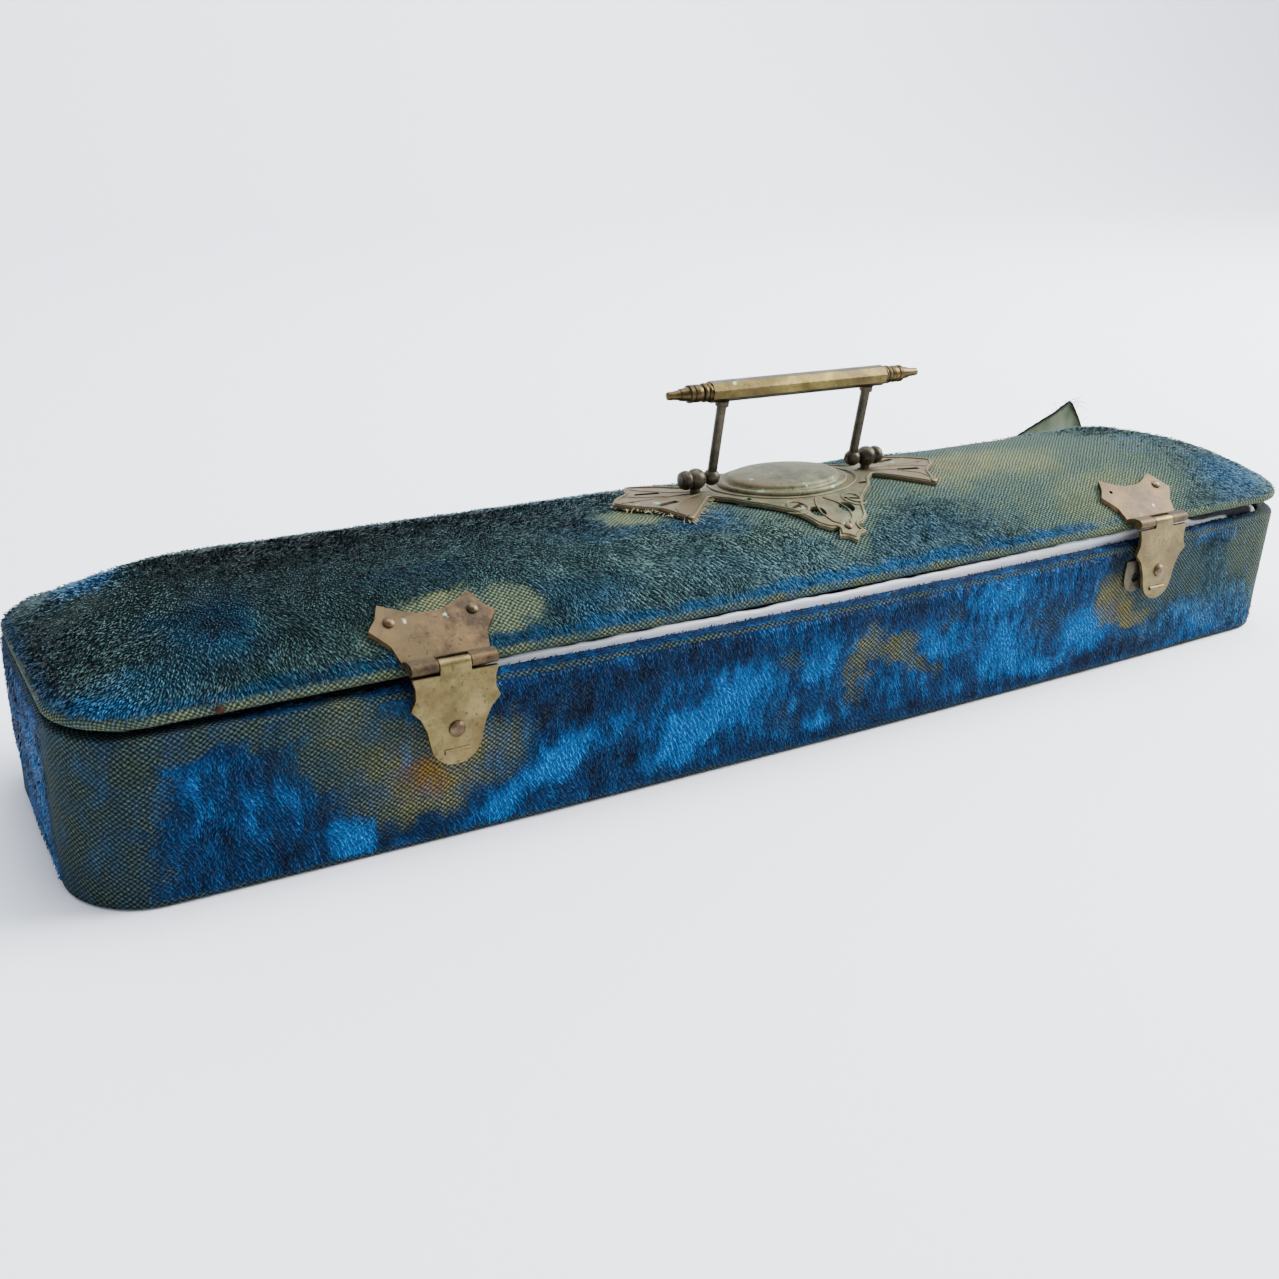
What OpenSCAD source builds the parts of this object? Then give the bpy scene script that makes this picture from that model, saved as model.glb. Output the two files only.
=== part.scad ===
// Long velvet box of the dressing table, for gloves or a fan: a shallow wooden base, a domed
// wooden lid hinged at the back, two snap clasps on the front and a bail handle on the lid.
// Millimetres, +Z up, +X along the box. The origin is on the table, under the middle of the box.

/* [Base] */
// Length of the box over its velvet
box_length = 330; // [300:1:400]
// Width of the box over its velvet, at its ends
box_width = 71; // [66:0.5:90]
// Height of the base from the table to its rim
base_height = 34; // [31:0.5:60]
// Radius of the box's corners, seen from above
corner_radius = 15.5; // [10:0.5:20]
// How far the front wall bows out at the rim, half way along
rim_bow = 5.3; // [3:0.1:7]
// How far the front wall bows out at the foot, half way along
foot_bow = 2.6; // [0:0.1:4]
// Thickness of the wooden walls
wall = 2.6; // [2:0.1:3.5]
// Thickness of the wooden floor
floor_board = 3; // [2:0.1:5]
// Thickness of the velvet with its glue
velvet = 1; // [0.6:0.1:1.3]
// Thickness of the cloth pasted under the floor
bottom_cloth = 0.8; // [0.4:0.1:1.2]
// How far the velvet turns down inside the rim
turn_in_depth = 6; // [3:0.5:10]

/* [Lining] */
// Thickness of a satin-covered lining card
lining_card = 1.5; // [0.8:0.1:2]
// Height that the floor pad rises in its middle
pad_height = 4.5; // [2:0.1:7]
// Distance of the long cards' ends from the rounded corners
card_end_gap = 10.5; // [1:0.5:15]
// How far the floor pad's sides draw in between its corners
pad_draw_in = 1.2; // [0:0.1:2]

/* [Lid] */
// Height of the upright band round the lid's edge
lid_rim = 1.6; // [1.2:0.1:4]
// Height of the crown above that band
crown_height = 12.8; // [8:0.1:18]
// How flat the crown's top is: 2 is an arch, more is flatter
crown_power = 2.75; // [2:0.05:4]
// Length over which the crown rises from each end
crown_reach = 37.8; // [30:0.2:60]
// How far the lid's front edge bows out, half way along
lid_bow = 1.2; // [0:0.1:2]
// Gap between lid and base along the back edge
back_gap = 0.3; // [0.2:0.05:0.6]
// How much further the warped lid stands open at its front left
lift_left = 1.2; // [0.6:0.1:3]
// How much further the warped lid stands open at its front right
lift_right = 3.4; // [0.6:0.1:5]
// Thickness of the lid's wooden shell at its top
lid_board_top = 3; // [2:0.1:4]
// Width of the solid wooden band round the lid's underside
lid_band = 9; // [7.5:0.1:14]
// How far the lid's satin pad hangs down in its middle
lid_pad_drop = 2.5; // [0.5:0.1:4]

/* [Clasps] */
// Distance of each base keeper from the box's end
keeper_inset = 69.2; // [50:0.2:85]
// How far to the right of its keeper the left clasp is nailed
left_clasp_shift = 0.6; // [0:0.1:3]
// How far to the right of its keeper the right clasp is nailed
right_clasp_shift = 6.6; // [0:0.1:8]
// Width over a clasp's three knuckles
knuckle_width = 17.6; // [14:0.2:22]
// Outer diameter of a clasp's knuckles
knuckle_d = 2.5; // [2.2:0.1:3.2]
// Diameter of a clasp's pin
clasp_pin_d = 1.2; // [0.9:0.05:1.4]
// Thickness of the clasp's brass
clasp_sheet = 0.9; // [0.6:0.05:1]
// Height of a clasp's pin above the lid's lower edge
clasp_pin_rise = 2.6; // [2.4:0.1:4]
// How far the right hasp stands off the wall, in degrees
right_hasp_tilt = 3; // [0:0.5:6]
// Distance from a clasp's pin down to its stud
stud_drop = 13; // [11:0.2:15]
// Diameter of the hole in a keeper
keeper_hole_d = 2.6; // [2:0.1:3.4]

/* [Handle] */
// Distance of the handle's middle to the right of the box's middle
handle_x = 9.7; // [0:0.1:20]
// Distance between the two outer pivot balls
ball_spacing = 51.2; // [50:0.2:70]
// Distance between the two posts of the handle
post_spacing = 42.4; // [38:0.2:43]
// Height of the pivot above the plate it stands on
pivot_rise = 3.4; // [3:0.1:6]
// Distance from the pivot up to the middle of the bar
handle_height = 21.2; // [16:0.2:30]
// How far the handle leans forward, in degrees
handle_lean = 8; // [0:1:20]
// Diameter of a pivot ball
ball_d = 5; // [4:0.1:5.2]
// Diameter of the pivot's pin
pivot_pin_d = 1.5; // [1.2:0.05:2]
// Diameter of a handle post
post_d = 2.3; // [1.8:0.1:3]
// Length of the eight-sided bar between its end collars
bar_length = 50.5; // [46:0.5:70]
// Width of the bar across its flats
bar_flats = 4.6; // [4:0.1:6]
// Length of a turned finial outside the bar
finial_length = 11.4; // [9:0.2:16]

/* [Handle plate] */
// Thickness of the stamped plate
plate_sheet = 0.8; // [0.6:0.05:1.2]
// Half length of the plate over its wing tips
wing_reach = 48; // [42:0.5:60]
// Half width of the plate over its front and back tongues
tongue_reach = 29.5; // [26:0.5:32]
// Half length of the raised oval
oval_x = 14.8; // [10:0.2:16]
// Half width of the raised oval
oval_y = 9.6; // [6:0.2:10]
// Height that the oval is raised
oval_rise = 2; // [1:0.1:3]

/* [Back hinges] */
// Distance of each back hinge from the box's end
hinge_inset = 65; // [45:1:100]
// Width of a back hinge
hinge_width = 22; // [16:0.5:30]
// Diameter of a back hinge's knuckles
hinge_knuckle_d = 2.4; // [2.2:0.1:3]
// Diameter of a back hinge's pin
hinge_pin_d = 1.2; // [0.9:0.05:1.4]
// Thickness of a back hinge's brass
hinge_sheet = 0.8; // [0.6:0.05:1]
// Length of a back hinge's leaves
hinge_leaf = 8; // [6:0.5:10]

/* [Clearances] */
// Gap between a metal piece and the velvet it lies on
seat_gap = 0.15; // [0.05:0.05:0.3]
// Gap all round a turning pin, on its radius
running_gap = 0.05; // [0.02:0.01:0.1]
// Gap between the cut edges of neighbouring pieces
edge_gap = 0.2; // [0.1:0.05:0.4]
// Gap at rest between a moving piece and what it rests against
rest_gap = 0.1; // [0.05:0.05:0.3]

/* [Hidden] */
$fn = 32;

half_length = box_length / 2;
half_width = box_width / 2;
corner_steps = 5;
edge_steps = 12;
crown_steps = 9;
// Inset of the lining cards: past velvet, wall and the turned-in velvet
turn_in = velvet / 2;
inner_face = velvet + wall + turn_in;
lining_inset = inner_face + seat_gap;
pad_inset = lining_inset + lining_card + edge_gap;
floor_top = bottom_cloth + floor_board;
card_length = half_length - corner_radius - card_end_gap;
keeper_x = half_length - keeper_inset;
hinge_x = half_length - hinge_inset;
nail_d = 1;

// The bowed front wall
function front_bow(z) = foot_bow + (rim_bow - foot_bow) * z / base_height;
function bow_share(x) = 1 - pow(x / half_length, 2);
function front_at(x, z, inset) = inset - half_width
    - front_bow(z) * (1 - pow(x / (half_length - inset), 2));
function front_face(x, z) = front_at(x, z, 0);

// The warped lid: its lower edge, and the top of its crown away from the ends
function lift(x) = lift_left + (lift_right - lift_left) * (x + half_length) / box_length;
function lid_edge(x, y) = base_height + back_gap + lift(x) * (half_width - y) / box_width;
function lid_reach(x, y) = half_width + (y < 0 ? lid_bow * bow_share(x) : 0);
function crown(share) = crown_height * (1 - pow(1 - share, crown_power));
function lid_top(x, y) = lid_edge(x, y) + lid_rim
    + crown(1 - min(1, abs(y) / lid_reach(x, y)));
// Steepness of the crown from front to back, in degrees
function lid_slope(x, y) = atan((lid_top(x, y + 0.5) - lid_top(x, y - 0.5)));

// Points of a rounded rectangle, from the front left corner round to the right.
// Its front side bows out.
function side(from, to, steps) =
    [for (i = [1:steps - 1]) from + (to - from) * i / steps];
function corner(centre, r, start) =
    [for (i = [0:corner_steps]) centre + r * [cos(start + 90 * i / corner_steps),
                                              sin(start + 90 * i / corner_steps)]];
function plan(end_inset, side_inset, bow, radius) =
    let (a = half_length - end_inset,
         b = half_width - side_inset,
         r = min(radius, 0.95 * b),
         x = a - r,
         y = b - r)
    [for (p = concat(side([-x, -b], [x, -b], edge_steps), corner([x, -y], r, -90),
                     side([a, -y], [a, y], 2), corner([x, y], r, 0),
                     side([x, b], [-x, b], edge_steps), corner([-x, y], r, 90),
                     side([-a, y], [-a, -y], 2), corner([-x, -y], r, 180)))
        [p.x, p.y < 0 ? p.y - bow * (1 - pow(p.x / a, 2)) : p.y]];

// One ring of points of the base, and one of the lid
function base_ring(inset, z) =
    [for (p = plan(inset, inset, front_bow(z), max(corner_radius - inset, 1))) [p.x, p.y, z]];
function lid_ring(end_inset, side_inset, z) =
    [for (p = plan(end_inset, side_inset, lid_bow * (1 - side_inset / half_width),
                   corner_radius + 0.4 * side_inset))
        [p.x, p.y, z + lid_edge(p.x, p.y)]];

// The lid's crown as rings, from its edge to its top, under skins of the thickness given
function crown_rings(depth) =
    [for (i = [0:crown_steps])
        let (share = 0.98 * i / crown_steps)
        lid_ring(depth + (crown_reach - depth) * share, depth + (half_width - depth) * share,
                 lid_rim - depth + crown(share))];

function backwards(list) = [for (i = [len(list) - 1:-1:0]) list[i]];
function mean(ring) = [for (k = [0:2]) [for (p = ring) p[k]] * [for (p = ring) 1 / len(ring)]];

// The faces between two rings of n points. The diagonals of a falling band lie as those
// of a rising one do, so that a skin fits on the wood under it.
function band_faces(n, first, second, falling) =
    [for (j = [0:n - 1])
        let (a = first * n + j, b = first * n + (j + 1) % n,
             c = second * n + j, d = second * n + (j + 1) % n)
        each falling ? [[a, c, d], [a, d, b]] : [[a, c, b], [b, c, d]]];
function falls(rings, i) = rings[i][0].z > rings[(i + 1) % len(rings)][0].z;

// A solid skinned over rings of points and closed by a flat fan at each end
module skinned(rings) {
    n = len(rings[0]);
    last = len(rings) - 1;
    top = n * len(rings);
    sides = [for (i = [0:last - 1]) each band_faces(n, i, i + 1, falls(rings, i))];
    start_cap = [for (j = [0:n - 1]) [top, j, (j + 1) % n]];
    end_cap = [for (j = [0:n - 1]) [top + 1, last * n + (j + 1) % n, last * n + j]];
    polyhedron(concat([for (r = rings) each r], [mean(rings[0]), mean(rings[last])]),
               concat(sides, start_cap, end_cap), convexity = 6);
}

// A solid skinned over rings that close on themselves, as a wall round a space does
module ring_wall(rings) {
    n = len(rings[0]);
    count = len(rings);
    polyhedron([for (r = rings) each r],
               [for (i = [0:count - 1])
                   each band_faces(n, i, (i + 1) % count, falls(rings, i))],
               convexity = 6);
}

// Extrusions of a flat outline along +X, and towards the back from a plane
module along_x(from, to)
    translate([from, 0, 0]) rotate([90, 0, 90]) linear_extrude(to - from) children();
module facing(front, back)
    translate([0, back, 0]) rotate([90, 0, 0]) linear_extrude(back - front) children();
module rod_x(from, to, d)
    translate([from, 0, 0]) rotate([0, 90, 0]) cylinder(d = d, h = to - from);

// A brass nail with a domed head, its shank going down from the origin
module nail(head_d, shank) {
    head_h = 0.35 * head_d;
    translate([0, 0, -shank]) cylinder(d = nail_d, h = shank + 0.1);
    rotate_extrude() intersection() {
        translate([0, head_h - 0.7 * head_d]) circle(0.7 * head_d);
        square([head_d / 2, head_h]);
    }
}

// Stands its children on the crown at x, y, over sheet of the thickness given.
// The crown's height and slope are those at the middle of the sheet.
module on_crown(x, y, middle_x, thickness)
    translate([x, y, lid_top(middle_x, y) + seat_gap + thickness])
        rotate([lid_slope(middle_x, y), 0, 0]) children();
module crown_nail_hole(x, y, middle_x, thickness) on_crown(x, y, middle_x, thickness)
    translate([0, 0, -4]) cylinder(d = nail_d + 2 * running_gap, h = 6, $fn = 24);

// BASE

lip = base_height - turn_in_depth;
module base_wall() color("burlywood")
    ring_wall([base_ring(velvet, floor_top), base_ring(velvet, base_height - velvet),
               base_ring(velvet + wall, base_height - velvet), base_ring(velvet + wall, lip),
               base_ring(velvet + wall, floor_top)]);

module base_floor() color("burlywood")
    translate([0, 0, bottom_cloth]) linear_extrude(floor_board)
        polygon(plan(velvet, velvet, foot_bow, corner_radius - velvet));

module base_cover() color("royalblue") {
    roll = velvet / 2;
    ring_wall([base_ring(0, bottom_cloth / 2), base_ring(0, base_height - velvet),
               base_ring(0.3 * roll, base_height - 0.3 * roll),
               base_ring(velvet, base_height), base_ring(inner_face - roll, base_height),
               base_ring(inner_face, base_height - roll), base_ring(inner_face, lip),
               base_ring(velvet + wall, lip), base_ring(velvet + wall, base_height - velvet),
               base_ring(velvet, base_height - velvet), base_ring(velvet, floor_top),
               base_ring(velvet, bottom_cloth / 2)]);
}

module bottom_cover() color("dimgray")
    linear_extrude(bottom_cloth)
        polygon(plan(velvet, velvet, foot_bow, corner_radius - velvet));

// A lining card that follows the front wall between the rounded corners.
// Its top follows the lid's edge, which rests on it.
module lining_front() color("ghostwhite") {
    steps = 16;
    skinned([for (i = [0:steps])
        let (x = -card_length + 2 * card_length * i / steps,
             low = front_at(x, floor_top, lining_inset),
             high = front_at(x, base_height, lining_inset),
             top = lid_edge(x, high + lining_card) - rest_gap)
        [[x, low, floor_top], [x, high, top],
         [x, high + lining_card, top], [x, low + lining_card, floor_top]]]);
}

module lining_back() color("ghostwhite")
    translate([-card_length, half_width - lining_inset - lining_card, floor_top])
        cube([2 * card_length, lining_card, base_height - floor_top - edge_gap]);

module lining_end(side) {
    reach = half_width - corner_radius - 1;
    x = side * (half_length - lining_inset - lining_card / 2);
    translate([x - lining_card / 2, -reach, floor_top])
        cube([lining_card, 2 * reach, base_height - floor_top - edge_gap]);
}
module lining_left() color("ghostwhite") lining_end(-1);
module lining_right() color("ghostwhite") lining_end(1);

// A padded satin cushion on the floor: crowned, its sides drawn in between the corners
function pad_ring(inset, z) =
    [for (p = plan(pad_inset + inset, pad_inset + inset, 0, corner_radius - 4))
        let (a = half_length - pad_inset, b = half_width - pad_inset,
             draw = pad_draw_in * (1 - pow(p.x / a, 2)) * (1 - pow(p.y / b, 4)))
        [p.x, p.y - sign(p.y) * draw * abs(p.y) / b, z]];
module floor_pad() color("ghostwhite") {
    rise = pad_height;
    skinned(concat([pad_ring(0.6, floor_top), pad_ring(0, floor_top + 0.25 * rise)],
                   [for (i = [1:6])
                       let (t = i / 6)
                       pad_ring(t * (half_width - pad_inset - 2),
                                floor_top + rise * (0.25 + 0.75 * sin(90 * sqrt(t))))]));
}

// CLASP KEEPERS ON THE FRONT WALL

keeper_half = 4;
keeper_top = 4.6;
keeper_sheet = 0.5;
clasp_left_x = -keeper_x + left_clasp_shift;
clasp_right_x = keeper_x + right_clasp_shift;
function clasp_pin_z(x) = lid_edge(x, -half_width) + clasp_pin_rise;
keeper_z = clasp_pin_z(clasp_left_x) - stud_drop;
keeper_back = front_face(keeper_x - keeper_half, keeper_z + keeper_top) - seat_gap;
keeper_front = keeper_back - keeper_sheet;
hasp_back = keeper_front - rest_gap;
clasp_pin_y = hasp_back - clasp_sheet + knuckle_d / 2;

module keeper(x) translate([x, 0, keeper_z])
    facing(keeper_front, keeper_back) difference() {
        union() {
            circle(keeper_half);
            translate([-keeper_half, 0]) square([2 * keeper_half, keeper_top]);
        }
        circle(d = keeper_hole_d, $fn = 24);
        for (side = [-1, 1]) translate([side * (keeper_half - 1.1), keeper_top - 1.1])
            circle(d = nail_d, $fn = 24);
    }
module keeper_left() color("peru") keeper(-keeper_x);
module keeper_right() color("peru") keeper(keeper_x);

// Flush pins that hold the keepers: their heads lie below the hasps
module keeper_nails() color("saddlebrown")
    for (x = [-keeper_x, keeper_x], side = [-1, 1])
        translate([x + side * (keeper_half - 1.1), 0, keeper_z + keeper_top - 1.1])
            facing(keeper_front, keeper_back + velvet + wall) circle(d = nail_d, $fn = 24);

// BACK HINGES

hinge_pin_y = half_width + seat_gap + hinge_knuckle_d / 2;
hinge_pin_z = base_height + back_gap / 2;
hinge_outer = hinge_width * 0.3;
hinge_nail_x = hinge_width * 0.32;
hinge_nail_z = hinge_pin_z - hinge_leaf + 2;
hinge_nail_y = half_width - hinge_leaf / 2 - 0.5;

module hinge_bore() translate([0, hinge_pin_y, hinge_pin_z])
    rod_x(-half_length, half_length, hinge_pin_d + 2 * running_gap);
module hinge_knuckle(from, to) translate([0, hinge_pin_y, hinge_pin_z])
    rod_x(from, to, hinge_knuckle_d);
module hinge_leaf_base(x) difference() {
    union() {
        translate([x - hinge_width / 2, half_width + seat_gap, hinge_pin_z - hinge_leaf])
            cube([hinge_width, hinge_sheet, hinge_leaf - hinge_knuckle_d / 2 - edge_gap]);
        for (side = [-1, 1])
            let (from = side > 0 ? hinge_width / 2 - hinge_outer : -hinge_width / 2) {
                hinge_knuckle(x + from, x + from + hinge_outer);
                translate([x + from, half_width + seat_gap,
                           hinge_pin_z - hinge_knuckle_d / 2 - 2 * edge_gap])
                    cube([hinge_outer, hinge_sheet, hinge_knuckle_d / 2 + 2 * edge_gap]);
            }
    }
    hinge_bore();
    for (side = [-1, 1]) translate([x + side * hinge_nail_x, 0, hinge_nail_z])
        facing(half_width - velvet, half_width + hinge_leaf) circle(d = nail_d, $fn = 24);
}
module hinge_leaf_base_left() color("peru") hinge_leaf_base(-hinge_x);
module hinge_leaf_base_right() color("peru") hinge_leaf_base(hinge_x);

module hinge_pin(x) translate([0, hinge_pin_y, hinge_pin_z])
    rod_x(x - hinge_width / 2, x + hinge_width / 2, hinge_pin_d);
module hinge_pin_left() color("saddlebrown") hinge_pin(-hinge_x);
module hinge_pin_right() color("saddlebrown") hinge_pin(hinge_x);

module hinge_nails_base() color("saddlebrown")
    for (x = [-hinge_x, hinge_x], side = [-1, 1])
        translate([x + side * hinge_nail_x, half_width + seat_gap + hinge_sheet,
                   hinge_nail_z])
            rotate([-90, 0, 0]) nail(2, seat_gap + hinge_sheet + velvet + wall - 0.3);

// LID

lid_turn = 5;
module lid_cover() color("teal")
    skinned(concat(backwards(crown_rings(0)),
                   [lid_ring(0.3, 0.3, 0), lid_ring(velvet + lid_turn, velvet + lid_turn, 0),
                    lid_ring(velvet + lid_turn, velvet + lid_turn, velvet)],
                   [lid_ring(velvet, velvet, velvet)],
                   [for (i = [1:crown_steps]) crown_rings(velvet)[i]]));

// The hollow under the lid's board stops at a solid band round its edge
function hollow_rings() =
    let (inset = velvet + lid_band, room = lid_rim + crown_height - 2 * velvet - lid_board_top)
    [for (i = [0:crown_steps])
        let (share = 0.96 * i / crown_steps)
        lid_ring(inset + (crown_reach - inset) * share, inset + (half_width - inset) * share,
                 velvet + room * (1 - pow(1 - share, crown_power)))];
module lid_board() color("burlywood")
    skinned(concat(backwards([for (i = [1:crown_steps]) crown_rings(velvet)[i]]),
                   [lid_ring(velvet, velvet, velvet),
                    lid_ring(velvet + lid_turn, velvet + lid_turn, velvet)], hollow_rings()));

// A padded satin panel glued inside the turned-in velvet, hanging a little into the base
module lid_lining() color("ghostwhite") {
    inset = velvet + lid_turn + edge_gap;
    skinned(concat([lid_ring(inset + 0.3, inset + 0.3, velvet - seat_gap),
                    lid_ring(inset, inset, velvet * 0.5)],
                   [for (i = [1:7])
                       let (t = i / 7, d = inset + t * (half_width - inset - 1))
                       lid_ring(d, d, velvet * 0.5 - (lid_pad_drop + velvet * 0.5)
                                * sin(90 * sqrt(t)))]));
}

// A strip of the covering that has torn loose at the back right and curls up
flap_end_gap = 13;
flap_length = 34;
flap_to = half_length - flap_end_gap;
flap_from = flap_to - flap_length;
flap_rise = 11.5;
flap_sheet = 0.7;
module torn_flap() color("darkolivegreen") {
    steps = 12;
    skinned([for (i = [0:steps])
        let (s = i / steps, x = flap_from + (flap_to - flap_from) * s,
             foot_y = half_width - 2.5,
             foot = lid_top(x, foot_y) + 2 * seat_gap,
             bulge = sin(180 * pow(s, 2)),
             height = 0.8 + (flap_rise - 0.8) * bulge,
             curl = 2.5 * bulge)
        [[x, foot_y, foot], [x + 2 * bulge, foot_y + curl, foot + height],
         [x + 2 * bulge, foot_y + curl + flap_sheet, foot + height],
         [x, foot_y + flap_sheet, foot]]]);
}

// A little nail through the velvet of the lid's front edge
rim_nail_x = -(half_length - 27);
module rim_nail() color("sienna")
    translate([rim_nail_x, -lid_reach(rim_nail_x, -1), lid_edge(rim_nail_x, -half_width) + 1])
        rotate([90, 0, 0]) nail(1.6, velvet + 4);

// CLASPS

// A strip of sheet that lies on the crown, seen from its end
module crown_strip(x, from, to, thickness) {
    steps = 14;
    under = [for (i = [0:steps])
        let (y = from + (to - from) * i / steps)
        [y, lid_top(x, y) + seat_gap]];
    polygon(concat(under, backwards([for (p = under) p + [0, thickness]])));
}

function arc(centre, r, from, to, steps) =
    [for (i = [0:steps]) centre + r * [cos(from + (to - from) * i / steps),
                                       sin(from + (to - from) * i / steps)]];
function mirrored(points) = backwards([for (p = points) [-p.x, p.y]]);

leaf_top = 14.2;
leaf_nail = [8.6, 10.2];
leaf_slope = 1.25;
function leaf_outline() =
    let (k = knuckle_width / 2,
         right = [[k, 0], [k + 0.1, 2.7], [k + 1.1, 6], [k + 4.2, 9.2], [k + 2.2, 11.2],
                  [k + 0.6, leaf_top], [k - 3.8, 12], [2.4, 11.2]])
    concat(right, mirrored(right));

middle_knuckle = knuckle_width * 0.36;
module clasp_leaf(x) {
    pin_z = clasp_pin_z(x);
    thickness = clasp_sheet * leaf_slope;
    edge_y = -lid_reach(x, -1) + 0.2;
    side_width = (knuckle_width - middle_knuckle) / 2 - edge_gap;
    difference() {
        union() {
            intersection() {
                along_x(x - 20, x + 20) crown_strip(x, edge_y, clasp_pin_y + leaf_top + 1,
                                                    thickness);
                translate([x, clasp_pin_y, 0]) linear_extrude(4 * base_height)
                    polygon(leaf_outline());
            }
            along_x(x - knuckle_width / 2, x + knuckle_width / 2) polygon([
                [clasp_pin_y + knuckle_d / 2 + edge_gap, pin_z + knuckle_d / 2 - thickness],
                [clasp_pin_y + knuckle_d / 2 + edge_gap, pin_z + knuckle_d / 2],
                [edge_y + 0.1, lid_top(x, edge_y + 0.1) + seat_gap + thickness],
                [edge_y + 0.1, lid_top(x, edge_y + 0.1) + seat_gap]]);
            for (side = [-1, 1])
                let (from = side > 0 ? knuckle_width / 2 - side_width : -knuckle_width / 2) {
                    translate([0, clasp_pin_y, pin_z])
                        rod_x(x + from, x + from + side_width, knuckle_d);
                    along_x(x + from, x + from + side_width) polygon([
                        [clasp_pin_y, pin_z], [clasp_pin_y, pin_z + knuckle_d / 2],
                        [clasp_pin_y + knuckle_d / 2 + 2 * edge_gap, pin_z + knuckle_d / 2],
                        [clasp_pin_y + knuckle_d / 2 + 2 * edge_gap,
                         pin_z + knuckle_d / 2 - thickness]]);
                }
        }
        translate([0, clasp_pin_y, pin_z])
            rod_x(x - 20, x + 20, clasp_pin_d + 2 * running_gap);
        for (side = [-1, 1])
            crown_nail_hole(x + side * leaf_nail.x, clasp_pin_y + leaf_nail.y, x, thickness);
    }
}
module clasp_leaf_left() color("rosybrown") clasp_leaf(clasp_left_x);
module clasp_leaf_right() color("rosybrown") clasp_leaf(clasp_right_x);

module clasp_pin(x) translate([0, clasp_pin_y, clasp_pin_z(x)])
    rod_x(x - knuckle_width / 2, x + knuckle_width / 2, clasp_pin_d);
module clasp_pin_left() color("saddlebrown") clasp_pin(clasp_left_x);
module clasp_pin_right() color("saddlebrown") clasp_pin(clasp_right_x);

// The leaves' nails. The right leaf has lost its left one.
module clasp_nails() color("sienna")
    for (place = [[clasp_left_x, -1], [clasp_left_x, 1], [clasp_right_x, 1]])
        on_crown(place[0] + place[1] * leaf_nail.x, clasp_pin_y + leaf_nail.y, place[0],
                 clasp_sheet * leaf_slope) nail(2.3, 6);

function hasp_outline() =
    let (k = knuckle_width / 2,
         neck = -knuckle_d / 2 - edge_gap,
         right = [[middle_knuckle / 2, 0], [middle_knuckle / 2, neck], [k, neck],
                  [k - 0.6, -3.4], [k - 0.6, -5.6], [k + 0.4, -7.8], [k - 1.5, -9.8],
                  [k - 2.7, -12.4], [k - 3.3, -15]],
         foot = arc([0, -15.2], k - 3.4, -10, -170, 10))
    concat(right, foot, mirrored(right));

module hasp(x, tilt) translate([x, clasp_pin_y, clasp_pin_z(x)]) rotate([-tilt, 0, 0])
    difference() {
        union() {
            facing(-knuckle_d / 2, -knuckle_d / 2 + clasp_sheet) difference() {
                polygon(hasp_outline());
                translate([0, -stud_drop]) circle(d = stud_d, $fn = 24);
            }
            rod_x(-middle_knuckle / 2, middle_knuckle / 2, knuckle_d);
            // Thumb lip across the foot
            translate([0, -knuckle_d / 2, -17.6]) rod_x(-2.6, 2.6, 1);
        }
        rod_x(-20, 20, clasp_pin_d + 2 * running_gap);
    }
stud_d = 1.8;
module hasp_left() color("peru") hasp(clasp_left_x, 0);
module hasp_right() color("peru") hasp(clasp_right_x, right_hasp_tilt);

// The stud that snaps on to the keeper, riveted through the hasp
module stud(x, tilt) translate([x, clasp_pin_y, clasp_pin_z(x)]) rotate([-tilt, 0, 0])
    translate([0, -knuckle_d / 2, -stud_drop]) rotate([90, 0, 0]) {
        translate([0, 0, -clasp_sheet]) cylinder(d = stud_d, h = clasp_sheet + 0.1);
        rotate_extrude() polygon([[0, 0], [1.7, 0], [1.6, 0.4], [1.1, 0.8], [0, 1]]);
    }
module stud_left() color("saddlebrown") stud(clasp_left_x, 0);
module stud_right() color("saddlebrown") stud(clasp_right_x, right_hasp_tilt);

// HANDLE PLATE

// The plate is flat along the box, so it stands clear of the warped lid by one gap more
plate_rise = plate_sheet + seat_gap;
plate_top = lid_top(handle_x, 0) + seat_gap + plate_rise;
lug_stem_d = 2.4;
function ellipse(a, b) = [for (i = [0:47]) [a * cos(i * 7.5), b * sin(i * 7.5)]];
function plate_quarter() =
    let (w = wing_reach, t = tongue_reach)
    [[w, 0], [w - 3, -4], [w - 8, -7.5], [w - 10, -11.5], [w - 12, -15.5], [w - 15, -13],
     [w - 19.5, -8.5], [24.5, -4.4], [21, -7.4], [18, -11.4], [13, -15.4], [10.2, -18],
     [8.6, t * -0.7], [7.2, t * -0.8], [4.6, t * -0.86], [2.4, t * -0.86], [4, t * -0.94],
     [1.8, t * -0.95], [0, -t]];
function plate_outline() =
    let (front = plate_quarter(),
         front_left = [for (p = front) [-p.x, p.y]],
         half = concat(front, backwards(front_left)))
    concat(half, backwards([for (p = half) [p.x, -p.y]]));

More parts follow.
